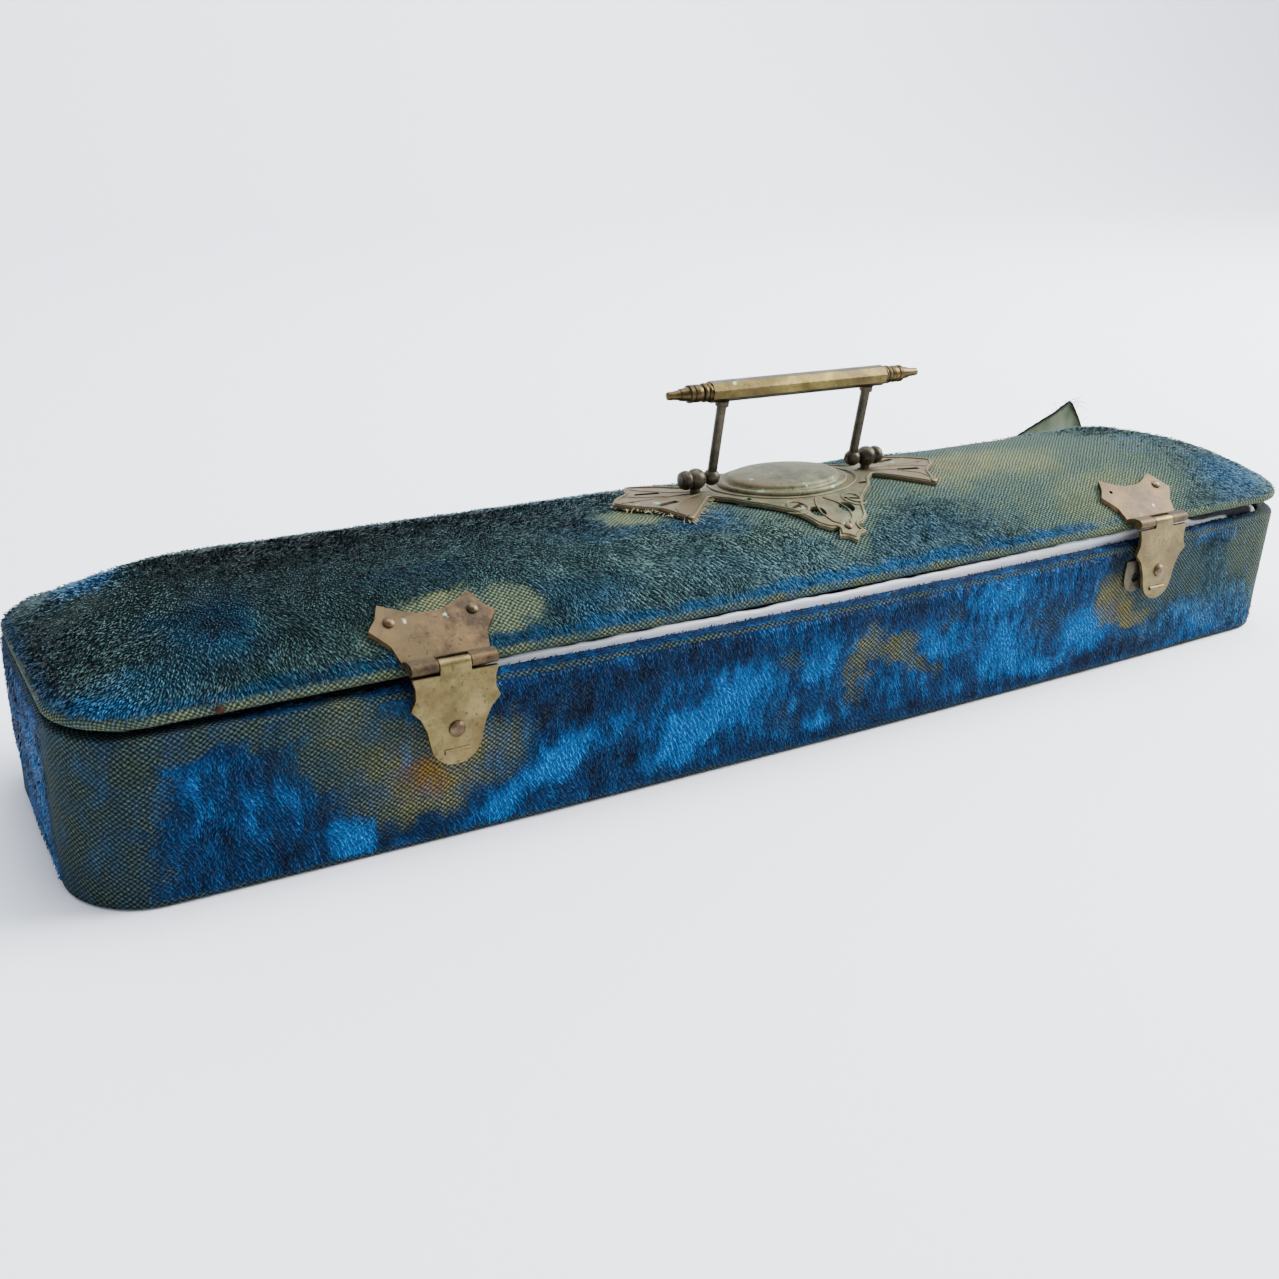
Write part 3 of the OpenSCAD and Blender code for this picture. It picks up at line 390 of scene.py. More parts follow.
def sow(name, cloth, u, v, values, length, lean, comb, sway, shell, finish, slant, seed):
    """The pile of a velvet: a narrow pointed blade in each crossing of its threads, but for
    those that are worn away or under metal. Its length and width are in millimetres. Comb gives
    the way that the pile lies at each point, sway how far it strays from that, and slant the turn
    of the stripes of painted light along the lines of its tufts, in radians."""
    chance = np.random.default_rng(seed)
    where, out = points_of(cloth)
    corners = np.array([f.vertices[:] for f in cloth.data.polygons if len(f.vertices) == 4])
    thirds = np.concatenate([corners[:, [0, 1, 2]], corners[:, [0, 2, 3]]])
    tuftable = values["tufted"][thirds].min(axis=1) > 0
    close = np.ptp(u[thirds], axis=1) + np.ptp(v[thirds], axis=1) < 10
    thirds = thirds[tuftable & close]
    flat = BVHTree.FromPolygons([(a, b, 0) for a, b in zip(u, v)], thirds.tolist())
    rows = np.arange(v[thirds].min(), v[thirds].max(), thread_v)
    line = np.arange(u[thirds].min(), u[thirds].max(), thread_u)
    spots = np.stack(np.meshgrid(line, rows), -1)
    spots[::2, :, 0] += thread_u / 2
    spots = spots.reshape(-1, 2) + chance.normal(0, 0.07, (spots.size // 2, 2))
    hits = [flat.ray_cast((a, b, 1), (0, 0, -1))[2] for a, b in spots]
    on = np.array([hit is not None for hit in hits])
    spots = spots[on]
    third = thirds[[hit for hit in hits if hit is not None]]

    # Each tuft's place in its triangle, as the share of each corner
    du, dv = spots[:, 0] - u[third[:, 0]], spots[:, 1] - v[third[:, 0]]
    (bu, cu), (bv, cv) = ([m[third[:, k]] - m[third[:, 0]] for k in (1, 2)] for m in (u, v))
    whole = bu * cv - bv * cu
    share_b, share_c = (du * cv - dv * cu) / whole, (bu * dv - bv * du) / whole
    shares = np.stack([1 - share_b - share_c, share_b, share_c], 1)
    root = np.einsum("nk,nkd->nd", shares, where[third])
    up = unit(np.einsum("nk,nkd->nd", shares, out[third]))
    held = {key: np.einsum("nk,nk->n", shares, numbers[third]) for key, numbers in values.items()}
    thick = 1 - smooth((held["bare"] + 0.35 * ripple(root, 1.6, seed) - 0.2) / 0.5)
    kept = chance.random(len(root)) < thick * held["tufted"]
    root, up, spots = root[kept], up[kept], spots[kept]
    held = {key: numbers[kept] for key, numbers in held.items()}

    way = comb(root)
    way = unit(way - up * np.sum(way * up, axis=1, keepdims=True))
    side = np.cross(up, way)
    turn = sway * ripple(root, 8, seed + 1) * 2 + 0.25 * sway * ripple(root, 2.5, seed + 2)
    turn += chance.normal(0, 0.12, len(root))
    way, side = toward(way, side, turn), toward(side, -way, turn)
    reach = length * chance.uniform(0.7, 1.25, len(root)) * (1 - 0.45 * np.clip(held["bare"], 0, 1))
    angle = lean + 0.2 * ripple(root, 5, seed + 3) + chance.normal(0, 0.12, len(root))
    angle = np.clip(angle, 0.15, 1.3)
    # Real tufts are finer: these are as coarse as they must be to show
    half_wide = 0.17 * chance.uniform(0.8, 1.2, len(root))
    roll = chance.normal(0, 0.45, len(root))
    edge = toward(side, up, roll) * half_wide[:, None]
    foot = root - 0.12 * up
    middle = root + toward(way, up, angle) * 0.5 * reach[:, None]
    tip = middle + toward(way, up, 0.45 * angle) * 0.5 * reach[:, None]

    def clear(k):
        """No metal above the root or along the blade."""
        start, lift, blade = Vector(root[k] - 0.3 * up[k]), Vector(up[k]), Vector(tip[k] - root[k])
        return (shell.ray_cast(start, lift, 3.5)[2] is None
                and shell.ray_cast(start, blade + 0.3 * lift, blade.length + 0.6)[2] is None)

    kept = np.array([clear(k) for k in range(len(root))])
    count = int(kept.sum())
    blades = np.stack([foot, middle - edge, middle + edge, tip], 1)[kept].reshape(-1, 3)
    first = 4 * np.arange(count)[:, None]
    faces = np.concatenate([first + (0, 2, 1), first + (1, 2, 3)], axis=1).reshape(-1, 3)
    made = piece(name, blades * MM, faces.tolist(), finish, turned=False)
    # Stripes of painted light along the lines of tufts, mixed with chance, set how far each tuft goes
    # towards its lit colour
    painted_row_light = 0.5 + 0.5 * np.cos(2 * pi * (spots[kept] @ np.array([cos(slant), sin(slant)])) / 1.05)
    lot = 0.4 * chance.random(count) + 0.6 * painted_row_light
    give(made, along=np.tile([0.0, 0.45, 0.45, 1.0], count), lot=np.repeat(lot, 4),
         tone=np.repeat(held["tone"][kept], 4), fade=np.repeat(held["fade"][kept], 4))
    cells = int(np.ceil(np.sqrt(count)))
    cell = np.repeat(np.arange(count), 4)
    give_map(made, "OFBake", (cell % cells + np.tile([0.5, 0.1, 0.9, 0.5], count)) / cells,
             (cell // cells + np.tile([0.1, 0.5, 0.5, 0.9], count)) / cells)
    return made


# Velvet colours at three levels, each a pair: painted shade at the foot of the tufts, then painted
# light on their tips. The threads, stains and rust below come likewise as painted shade between the
# threads, then painted light on their tops.
base_blues = [("#000712", "#021d3f"), ("#001a36", "#03416f"), ("#013a6a", "#0d7fc4")]
base_faded = [("#07191c", "#23423f"), ("#0e2426", "#3a5852"), ("#1b3632", "#627a68")]
base_ground = ground("blue velvet's cotton ground", base_blues, base_faded,
                     threads=("#020606", "#506459"), stained=("#14170c", "#8f8c58"),
                     rust=("#2a200c", "#9a7a30"))

# The cloth's section goes up the wall, rolls over the rim, turns down inside and ends hidden
base_steps = (420, 30, 52)
rim_rolls = [(0.06, 33.45), (0.3, 33.8), (1.0, 34.0), (1.9, 34.0), (2.8, 34.0), (3.6, 34.0),
             (3.95, 33.85), (4.1, 33.5)]
outside = [(0.0, z) for z in np.linspace(0.4, base_height - velvet_thick, 44)]
inside = [(4.1, z) for z in np.linspace(32.5, base_height - turn_in_depth, 5)]
hidden = [(3.6, 28.0), (3.6, 33.0), (1.0, 33.0), (1.0, 3.8), (1.0, 0.4)]
rings, ring_v = [], []
travelled = 0.0
last = None
for inset, z in outside + rim_rolls + inside + hidden:
    flat_ring = plan(inset, inset, wall_bow(z), max(corner_radius - inset, 1), base_steps)
    rings.append(np.column_stack([flat_ring, np.full(len(flat_ring), z)]))
    travelled += 0 if last is None else hypot(inset - last[0], z - last[1])
    last = (inset, z)
    ring_v.append(travelled + 0.4)
around = np.hypot(*np.diff(np.vstack([rings[0], rings[0][:1]])[:, :2], axis=0).T)
ring_u = np.concatenate([[0], np.cumsum(around)[:-1]])
# The front's middle is at nought, and the left end lies to its left
ring_u -= ring_u[base_steps[0] // 2 - 1]
ring_u = np.where(ring_u > around.sum() / 2, ring_u - around.sum(), ring_u)
u = np.tile(ring_u, len(rings))
v = np.repeat(ring_v, len(ring_u))
points = np.concatenate(rings)
shown = np.repeat([i < len(outside + rim_rolls + inside) for i in range(len(rings))], len(ring_u))

# Worn patches; bright patches of painted sheen and darker patches of duller pile, one of them a
# painted shadow beside the right clasp; stained and faded patches. All are in millimetres along
# the cloth and up it
bare_marks = [
    (-163, 19, 13, 22, 0, 1.2), (-146, 32, 22, 3.4, 0, 1.0), (-116, 29, 8, 8, 0, 1.0),
    (-103, 17, 17, 10, 0, 1.1), (-82, 18, 6, 9, 0, 0.5), (-71, 27, 6, 5, 0, 0.3),
    (-14, 24, 6, 3, -35, 0.6), (-14, 10, 5, 5, 0, 0.45), (4, 18, 4.5, 10, 0, 0.7),
    (12, 23, 7, 4, -20, 0.75), (22, 17, 9, 2.6, -35, 0.8), (19, 23, 4, 3, 40, 0.6),
    (32, 27, 5, 3, 0, 0.5), (70, 19, 9, 6, 0, 0.45), (58, 25, 6, 5, 0, 0.3),
    (90, 21, 9, 8, 0, 1.0), (100, 14, 9, 3, -10, 1.0), (114, 24, 14, 11, 0, 0.9),
    (152, 26, 15, 11, 0, 1.0), (168, 18, 14, 22, 0, 1.0), (-95.8, 27, 5, 6, 0, 1.0),
    (95.8, 27, 5, 6, 0, 1.0)]
sheen_marks = [
    (-136, 14, 9, 7, 20, 0.35), (-117, 6, 6, 3.6, -15, 1.1), (-145, 24, 5, 5, 0, 0.4),
    (-72, 13, 7, 3.4, 30, 1.2), (-84, 5.5, 5, 3, 20, 0.9), (-42, 12, 7, 6, 35, 1.1),
    (-29, 18, 8, 6, 40, 0.9), (-7, 22, 4, 4, -30, 0.9), (-5.5, 7, 3, 2.4, 0, 0.9),
    (48, 29, 9, 4, 0, 0.9), (52, 13, 9, 8, -30, 0.8), (28, 20, 8, 5, 0, 0.5),
    (82, 14, 9, 6, 0, 0.9), (67, 6, 9, 2.4, 0, 0.7), (124, 10, 7, 5, 0, 0.6),
    (145, 14, 6, 2, 0, 0.4), (137, 7, 14, 4, 0, 0.35), (-185, 16, 6, 12, 0, 0.5)]
dark_marks = [
    (-138, 12, 3, 3, 30, 0.7), (-102, 6, 8, 3, 0, 0.7), (-72, 27, 18, 6, 0, 0.8),
    (-61, 8, 7, 3, 25, 0.9), (-38, 30, 18, 3.6, 0, 0.6), (5, 31, 18, 2.6, 0, 0.5),
    (10, 3.4, 62, 1.8, 0, 0.5), (95, 5, 16, 2.4, 0, 1.1), (130, 29, 6, 2.4, 0, 0.8),
    # The last mark here is a painted shadow, where the right clasp and keeper shade the pile.
    (-98, 24, 8, 4, -50, 0.7), (92, 29, 5, 6, 0, 1.6)]
stain_marks = [
    (-99, 17, 13, 9, 0, 0.7), (-101, 15, 5, 4.5, 0, 0.9), (90, 20, 8, 6, 0, 0.9),
    (100, 14, 9, 3, -10, 0.8), (4, 18, 4, 9, 0, 0.35), (14, 22, 10, 6, -30, 0.35),
    (-116, 30, 6, 5, 0, 0.25), (152, 26, 14, 11, 0, 0.2)]
faded_marks = [
    (-116, 29, 12, 9, 0, 1), (114, 22, 20, 14, 0, 1), (152, 22, 24, 16, 0, 1.5),
    (-168, 20, 12, 22, 0, 0.8)]
slow = ripple(points, 34, 2)
quick_ripple = ripple(points, 7, 5)
unseen = smooth((np.abs(u) - 178) / 30)
ragged_u, ragged_v = ragged(points, u, v, 21)
bare = patches(ragged_u, ragged_v, bare_marks) + unseen * smooth((slow - 0.05) / 0.3) * 0.9
# Rubbed lines along the rim's arris and the bottom edge
bare += 1.1 * smooth(1 - np.abs(v - 33.7) / 0.9) + 1.0 * smooth(1.2 - (v - 0.4) / 1.3)
soft_u, soft_v = (u + ragged_u) / 2, (v + ragged_v) / 2
tone = patches(soft_u, soft_v, sheen_marks) - 0.8 * patches(soft_u, soft_v, dark_marks)
# Painted shade: the front darkens towards its left corner, which the light from the right leaves in
# shade.
tone -= 0.35 * smooth((-105 - u) / 20) * smooth((u + 165) / 15)
# Random patchiness, with thin streaks of painted sheen up the pile
tone += 0.9 * unseen * slow + 0.3 * quick_ripple + 0.8 * ripple(points * (1, 1, 0.35), 1.7, 9)
# Painted shade over the rim's top and the cloth turned in below it, under the lid's edge
tone -= 0.35 * smooth((v - 34.2) / 1.5)
fade = 0.45 * patches(ragged_u, ragged_v, faded_marks)
stain = np.clip(patches(ragged_u, ragged_v, stain_marks), 0, 1.5)
bare, fade = np.clip(bare, 0, 1.2), np.clip(fade, 0, 1)

# The pile's body stands proud of the bare ground, in soft lumps
base_velvet = piece("base_velvet", points * MM, skin(rings), base_ground)
pile_height = (0.28 + 0.14 * quick_ripple) * (1 - smooth(bare)) - 0.05
raise_pile(base_velvet, pile_height * shown * smooth((v - 0.4) / 1.2))
give(base_velvet, bare=bare, tone=tone, fade=fade, stain=stain)
give_map(base_velvet, "cloth", u, v)
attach(base_velvet, "base")
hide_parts("base_cover")

brass_on_base = metal_shell(
    "hasp_left", "hasp_right", "keeper_left", "keeper_right", "keeper_nails", "clasp_leaf_left",
    "clasp_leaf_right", "hinge_leaf_base_left", "hinge_leaf_base_right", "hinge_pin_left",
    "hinge_pin_right", "lining_front")
base_pile = sow(
    "base_pile", base_velvet, u, v,
    {"bare": bare, "tone": tone, "fade": fade, "tufted": shown * (v > 1.6) * (v < 38.4)},
    length=1.05, lean=0.42, comb=lambda root: np.tile([0.25, 0.0, -1.0], (len(root), 1)), sway=0.55,
    shell=brass_on_base, finish=pile("blue silk pile", base_blues, base_faded), slant=0.35,
    seed=31)
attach(base_pile, "base")

# WOOD
# The base's wall and floor and the lid's shell are thin, pale limewood, planed, bent round the
# corners and glued. The wood shows only where a covering ends.


def limewood():
    """Planed limewood: pale and dull, with faint grain 4 mm wide and 80 mm long."""
    made, tree, out = material("limewood")
    place = add(tree, "TexCoord", output="Object")
    along = add(tree, "VectorMath", {0: place, 1: (12, 260, 260)}, operation="MULTIPLY")
    grain = add(tree, "TexNoise", {"Vector": along, "Scale": 1.0, "Detail": 4.0})
    colour = add(tree, "Mix", {0: grain, 6: linear("#8a6a48"), 7: linear("#c5a67c")})
    bump = add(tree, "Bump", {"Height": grain, "Strength": 0.3, "Distance": 0.0002})
    shader = add(tree, "BsdfPrincipled", {"Base Color": colour, "Normal": bump, "Roughness": 0.65})
    tree.links.new(shader, out.inputs["Surface"])
    return made


def finish(made, *names):
    """Gives CAD nodes a finish of this script's."""
    for name in names:
        for slot in nodes[name].material_slots:
            slot.material = made


wood = limewood()
finish(wood, "base_wall", "base_floor", "lid_board")

# UNDERSIDE
# A dark glazed cotton is pasted under the floor, over the turned edges of the velvet. It shows
# only when the box is tipped up.


def glazed_cotton():
    """Glazed cotton: a fine plain weave with the shine of its size."""
    made, tree, out = material("glazed cotton")
    place = add(tree, "TexCoord", output="Object")
    thread = 0.5 * MM
    weave = woven(tree, place, (pi / thread, 0, 0), (0, pi / thread, 0))
    rub = add(tree, "TexNoise", {"Vector": place, "Scale": 60.0, "Detail": 4.0})
    rub = add(tree, "Math", {0: weave, 1: 0.2, 2: rub}, operation="MULTIPLY_ADD")
    colour = add(tree, "Mix", {0: rub, 6: linear("#1d2124"), 7: linear("#4a4c48")})
    bump = add(tree, "Bump", {"Height": weave, "Strength": 0.3, "Distance": 0.0001})
    shader = add(tree, "BsdfPrincipled", {"Base Color": colour, "Normal": bump, "Roughness": 0.6})
    tree.links.new(shader, out.inputs["Surface"])
    return made


finish(glazed_cotton(), "bottom_cover")

# LID VELVET
# The same velvet over the domed lid, faded by the light to grey-green. Its pile is combed towards
# the edges. It is rubbed to the ground at the right, round the plate and clasps and along the rim.
lid_rim, crown_height, crown_power, crown_reach, lid_bow = 1.6, 12.8, 2.75, 37.8, 1.2
back_gap, lift_left, lift_right = 0.3, 1.2, 3.4


def lid_edge(x, y):
    """Height of the warped lid's lower edge."""
    lift = lift_left + (lift_right - lift_left) * (x + half_length) / (2 * half_length)
    return base_height + back_gap + lift * (half_width - y) / (2 * half_width)


def lid_reach(x, y):
    """How far the lid's edge lies from its middle line, to the front or the back."""
    return half_width + np.where(np.asarray(y) < 0, lid_bow * (1 - (x / half_length) ** 2), 0)


def crown(share):
    """Height of the crown at a share of the way from its edge to its top."""
    return crown_height * (1 - (1 - share) ** crown_power)


def lid_top(x, y):
    """Height of the crown's surface away from the ends."""
    share = 1 - np.minimum(1, np.abs(y) / lid_reach(x, y))
    return lid_edge(x, y) + lid_rim + crown(share)


def lid_ring(end_inset, side_inset, z, steps):
    """A ring of points of the lid at a height above its edge."""
    ring = plan(end_inset, side_inset, lid_bow * (1 - side_inset / half_width),
                corner_radius + 0.4 * side_inset, steps)
    return np.column_stack([ring, z + lid_edge(ring[:, 0], ring[:, 1])])


lid_steps = (420, 26, 40)
crown_steps = 52
shares = [0.985 * (i / crown_steps) ** 0.9 for i in range(crown_steps, -1, -1)]
edge_rolls = [(0, 1.2), (0, 0.8), (0.08, 0.4), (0.3, 0.1), (0.7, 0), (2.5, 0), (6, 0), (6, 1), (1, 1)]
rings = [lid_ring(crown_reach * s, half_width * s, lid_rim + crown(s), lid_steps) for s in shares]
rings += [lid_ring(inset, inset, z, lid_steps) for inset, z in edge_rolls]
rings += [lid_ring(velvet_thick + (crown_reach - velvet_thick) * s,
                   velvet_thick + (half_width - velvet_thick) * s,
                   lid_rim - velvet_thick + crown(s), lid_steps) for s in shares[-2::-6]]
points = np.concatenate(rings)
n = len(rings[0])


def across(first):
    """Faces that close a narrow ring over the lid's middle line."""
    front, turn = lid_steps[0] - 1, 2 * lid_steps[1] + lid_steps[2] - 1
    back = [first + 2 * front + turn - 1 - i for i in range(front)]
    made = [(first + i, first + i + 1, back[i + 1], back[i]) for i in range(front - 1)]
    made.append([first + i for i in range(front - 1, front + turn + 1)])
    made.append([first + (2 * front + turn - 1 + i) % n for i in range(turn + 2)])
    return made


lid_velvet = piece("lid_velvet", points * MM,
                   skin(rings)[:-n] + across(0) + across(n * (len(rings) - 1)), None)

# The cloth's flat coordinates: its run from the middle line, over the crown and round the edge
side = np.array([ring[lid_steps[0] // 2] for ring in rings])[:, 1:]
run = np.concatenate([[hypot(side[0][0], 0)], np.hypot(*np.diff(side, axis=0).T)]).cumsum()
stretch = np.repeat(run / np.abs(side[:, 0]), n)
x, y, z = points.T
core = np.clip(x, crown_reach - half_length, half_length - crown_reach)
u, v = core + (x - core) * stretch, y * stretch
level = np.repeat(np.concatenate([shares, -0.01 * np.arange(1, len(rings) - len(shares) + 1)]), n)

slow = ripple(points, 40, 11)
quick_ripple = ripple(points, 7, 13)
behind = smooth((y - 14) / 12)
# Worn patches; bright patches of painted sheen and darker patches of duller pile; still blue and
# stained patches. All are in millimetres in plan
bare_marks = [
    (-94, -24.5, 9, 3.4, 0, 1.0), (-79, -30, 6, 7, 0, 0.8), (-108, -31, 4, 5, 0, 0.5),
    (-34, -5, 10, 8, 0, 1.0), (9.7, 0, 30, 19, 0, 1.3), (9.7, -22, 9, 9, 0, 0.9),
    (52, -3, 16, 13, 0, 1.1), (84, -8, 40, 32, 0, 1.0), (150, 12, 12, 16, 0, 0.7),
    (142, -14, 20, 15, 0, 0.25), (103, -28, 16, 7, 0, 0.7), (-153, 3, 9, 8, 20, 0.4),
    (-60, -12, 10, 6, 0, 0.25)]
sheen_marks = [
    (-147, 13, 7, 8, -20, 1.4), (-133, -22, 8, 6, 0, 0.3), (-152, -31, 9, 2.4, 0, 0.5),
    (-22, -13, 9, 4, 0, 0.1), (141, -27, 11, 6, 0, 0.5), (127, -6, 8, 7, 0, 0.2)]
dark_marks = [
    (-120, 4, 22, 9, 0, 0.5), (-85, 8, 26, 7, 0, 0.5), (-134, -20, 5, 5, 0, 0.4),
    (-60, 0, 10, 6, 0, 0.4), (-48, -6, 8, 5, 0, 0.5), (86, -14, 2, 2, 0, 1.5),
    (82, -29, 6, 2, 0, 1.0)]
blue_marks = [
    (-134, -21, 9, 8, 0, 0.8), (-151, -31, 12, 4, 0, 0.6), (-147, 13, 9, 9, -20, 0.8),
    (-96, -17, 10, 3, 0, 0.4), (-44, -9, 14, 7, 0, 0.4), (-20, -12, 12, 6, 0, 0.6),
    (10, -30, 40, 5, 0, 0.25), (126, -8, 10, 9, 0, 0.4), (142, -26, 13, 8, 0, 0.5),
    (160, 4, 7, 22, 0, 0.35), (-62, -29, 12, 4, 0, 0.4)]
stain_marks = [
    (76, -5, 16, 10, 0, 0.8), (96, -27, 16, 7, 0, 0.5), (-94, -25, 9, 4, 0, 0.8),
    (-36, -6, 8, 6, 0, 0.7), (52, -4, 12, 10, 0, 0.9), (-79, -31, 5, 5, 0, 0.4)]
ragged_x, ragged_y = ragged(points, x, y, 41)
strip = smooth((0.085 + 0.03 * quick_ripple - level) / 0.03) * (1 - smooth((x - 60) / 50))
rubbed = smooth((0.012 - level) / 0.012)
bare = patches(ragged_x, ragged_y, bare_marks) + behind * smooth((slow - 0.1) / 0.3) * 0.8
bare = np.clip(bare * (1 - 0.8 * strip) + 1.2 * rubbed, 0, 1.3)
tone = patches(ragged_x, ragged_y, sheen_marks) - patches(ragged_x, ragged_y, dark_marks)
# Random patchiness and the front strip, then painted shade darkening the left end; from the middle on
# it is lighter, and a little less so at the right end.
tone += 0.35 * slow + 0.3 * quick_ripple + 0.1 * strip - 0.5 * smooth((-62 - x) / 50)
tone += 0.3 * smooth((x + 70) / 30) - 0.1 * smooth((x - 100) / 20)
# Fine streaks of painted sheen across the lid
tone += 0.45 * ripple(points * (1, 0.5, 1), 2.2, 15)
fade = np.clip(0.9 + 0.3 * slow - patches(ragged_x, ragged_y, blue_marks) - 0.9 * strip, 0, 1)
stain = np.clip(patches(ragged_x, ragged_y, stain_marks) + 0.35 * rubbed, 0, 1)

# The lid's colours in the same pairs: painted shade first, then painted light; its threads, stains
# and rust likewise for the gaps and the tops of the threads.
lid_blues = [("#010a10", "#062334"), ("#03202f", "#124765"), ("#05375a", "#1b6b9c")]
lid_faded = [("#020708", "#1c3432"), ("#040e11", "#476862"), ("#0d1c20", "#7c9887")]
lid_velvet.data.materials[0] = ground(
    "faded velvet's cotton ground", lid_blues, lid_faded, threads=("#0b1614", "#6a806b"),
    stained=("#252b19", "#969c6e"), rust=("#3a2c1a", "#8f7850"))
raise_pile(lid_velvet, ((0.35 + 0.15 * quick_ripple) * (1 - smooth(bare)) - 0.05) * (level > -0.05))
give(lid_velvet, bare=bare, tone=tone, fade=fade, stain=stain)
give_map(lid_velvet, "cloth", u, v)
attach(lid_velvet, "lid")
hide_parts("lid_cover")


def combed_down(root):
    """On the lid the pile lies towards the front, the ends and, far back, the back."""
    past = root[:, 0] - np.clip(root[:, 0], crown_reach - half_length, half_length - crown_reach)
    return np.stack([0.15 + 1.3 * past / crown_reach, 2 * smooth((root[:, 1] - 8) / 16) - 1,
                     np.full(len(root), -0.3)], 1)


faded_pile = pile("faded silk pile", lid_blues, lid_faded)
brass_on_lid = metal_shell(
    "clasp_leaf_left", "clasp_leaf_right", "clasp_nails", "clasp_pin_left", "clasp_pin_right",
    "hasp_left", "hasp_right", "handle_plate", "plate_nails", "pivot_lug_left", "pivot_lug_right",
    "post_left", "post_right", "rim_nail", "hinge_leaf_lid_left", "hinge_leaf_lid_right",
    "hinge_nails_lid", "hinge_pin_left", "hinge_pin_right", "torn_flap")
lid_pile = sow(
    "lid_pile", lid_velvet, u, v,
    {"bare": bare, "tone": tone, "fade": fade, "tufted": 1.0 * (level > -0.015)},
    length=1.4, lean=0.5, comb=combed_down, sway=0.35, slant=0.5, shell=brass_on_lid,
    finish=faded_pile, seed=51)
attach(lid_pile, "lid")

# SATIN LININGS
# White silk satin, gone a little grey, drawn over thin cards that are glued inside the wall. The
# cloth puckers where it turns over a card, which shows as a wavy white line under the lid.
card_face, card_foot, card_top, half_card = 4.25, 3.8, 33.8, 0.75


def satin():
    """Silk satin: smooth, with a soft shine and faint creases 2.4 mm wide and 11 mm long."""
    made, tree, out = material("white silk satin")
    place = add(tree, "TexCoord", output="Object")
    soil = add(tree, "TexNoise", {"Vector": place, "Scale": 45.0, "Detail": 4.0})
    colour = add(tree, "Mix", {0: soil, 6: linear("#ccced0"), 7: linear("#f3f5f6")})
    along = add(tree, "VectorMath", {0: place, 1: (90, 420, 420)}, operation="MULTIPLY")
    crease = add(tree, "TexNoise", {"Vector": along, "Scale": 1.0, "Detail": 3.0})
    bump = add(tree, "Bump", {"Height": crease, "Strength": 0.35, "Distance": 0.0006})
    shader = add(tree, "BsdfPrincipled", {
        "Base Color": colour, "Normal": bump, "Roughness": 0.42, "Sheen Weight": 0.2,
        "Anisotropic": 0.4})
    tree.links.new(shader, out.inputs["Surface"])
    return made


white_satin = satin()


def capped(rings):
    """Faces between rings in a row, with both ends closed."""
    n = len(rings[0])
    last = n * (len(rings) - 1)
    return skin(rings)[:-n] + [list(range(n)), list(range(last, last + n))]


def lining(name, first, last, outer, top, seed):
    """A satin-covered card. Outer gives its outer face's place and the way into the box, from
    a place along it and a height, and top its height. All are in millimetres."""
    along = np.linspace(first, last, int(abs(last - first) / 1.1))
    fold = np.linspace(0, pi, 9)
    rise = np.linspace(0, 1, 15)[:-1]
    depth = np.concatenate([0 * rise, half_card * (1 - np.cos(fold)), 0 * rise + 2 * half_card])
    share = np.concatenate([rise, 0 * fold + 1, rise[::-1]])
    over = np.concatenate([0 * rise, half_card * np.sin(fold), 0 * rise])
    flat_points = np.stack([along, 0 * along, 0 * along], 1)
    sag = 0.4 + 0.4 * ripple(flat_points, 6, seed) + 0.25 * ripple(flat_points, 2.4, seed + 1)
    rings = []
    for place, high, drop in zip(along, top(along), np.maximum(sag, 0)):
        z = card_foot + share * (high - drop - half_card - card_foot) + over
        pull = ripple(np.stack([0 * z + place, 0.25 * z, 0 * z], 1), 4.5, seed + 2)
        line, inward = outer(place, z)
        into = depth - 0.3 * (depth > 0.7) * (pull + 1) / 2
        rings.append(np.stack([line[0] + inward[0] * into, line[1] + inward[1] * into, z], 1))
    made = piece(name, np.concatenate(rings) * MM, capped(rings), white_satin)
    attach(made, "base")
    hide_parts(name.replace("satin", "lining"))


def front_face(x, z):
    """The inner face of the base's front wall."""
    bow = wall_bow(z) * (1 - (x / (half_length - card_face)) ** 2)
    return np.stack([0 * z + x, card_face - half_width - bow]), (0, 1)


def back_face(x, z):
    """The inner face of the base's straight back wall."""
    return np.stack([0 * z + x, 0 * z + half_width - card_face]), (0, -1)


def front_top(x):
    """The front card reaches up to the lifted lid, but for its sunken ends."""
    under_lid = lid_edge(x, front_face(x, 35 + 0 * x)[0][1] + 2 * half_card) - 0.05
    return under_lid - 2.2 * smooth((-84 - x) / 7) - 2.0 * smooth((x - 118) / 8)


def plain_top(place):
    """The other cards end just below the rim."""
    return 0 * place + card_top


def end_face(side):
    """The inner face of an end wall and of the two corners beside it, from a place along it."""
    radius, straight = corner_radius - card_face, half_width - corner_radius

    def face(place, z):
        arc, sign = radius * pi / 2, np.sign(place)
        far = max(abs(place) - straight, 0)
        angle = min(far, arc) / radius
        x = half_length - corner_radius + radius * cos(angle) - max(far - arc, 0)
        y = min(abs(place), straight) + radius * sin(angle)
        bow = wall_bow(z) * (1 - (x / (half_length - card_face)) ** 2) if sign < 0 else 0 * z
        inner = Vector((-cos(angle), -sin(angle) * sign)) if far < arc else Vector((0, -sign))
        return np.stack([0 * z + side * x, sign * (y + bow)]), (side * inner[0], inner[1])
    return face


lining("satin_front", -139, 139, front_face, front_top, 61)
lining("satin_back", -139, 139, back_face, plain_top, 65)
lining("satin_left", -47.4, 47.4, end_face(-1), plain_top, 69)
lining("satin_right", -47.4, 47.4, end_face(1), plain_top, 73)

# SATIN PADS
# The floor pad and the panel inside the lid are thin cards under cotton wadding, covered in the
# same satin. The wadding swells them between their glued edges, and the satin puckers there.


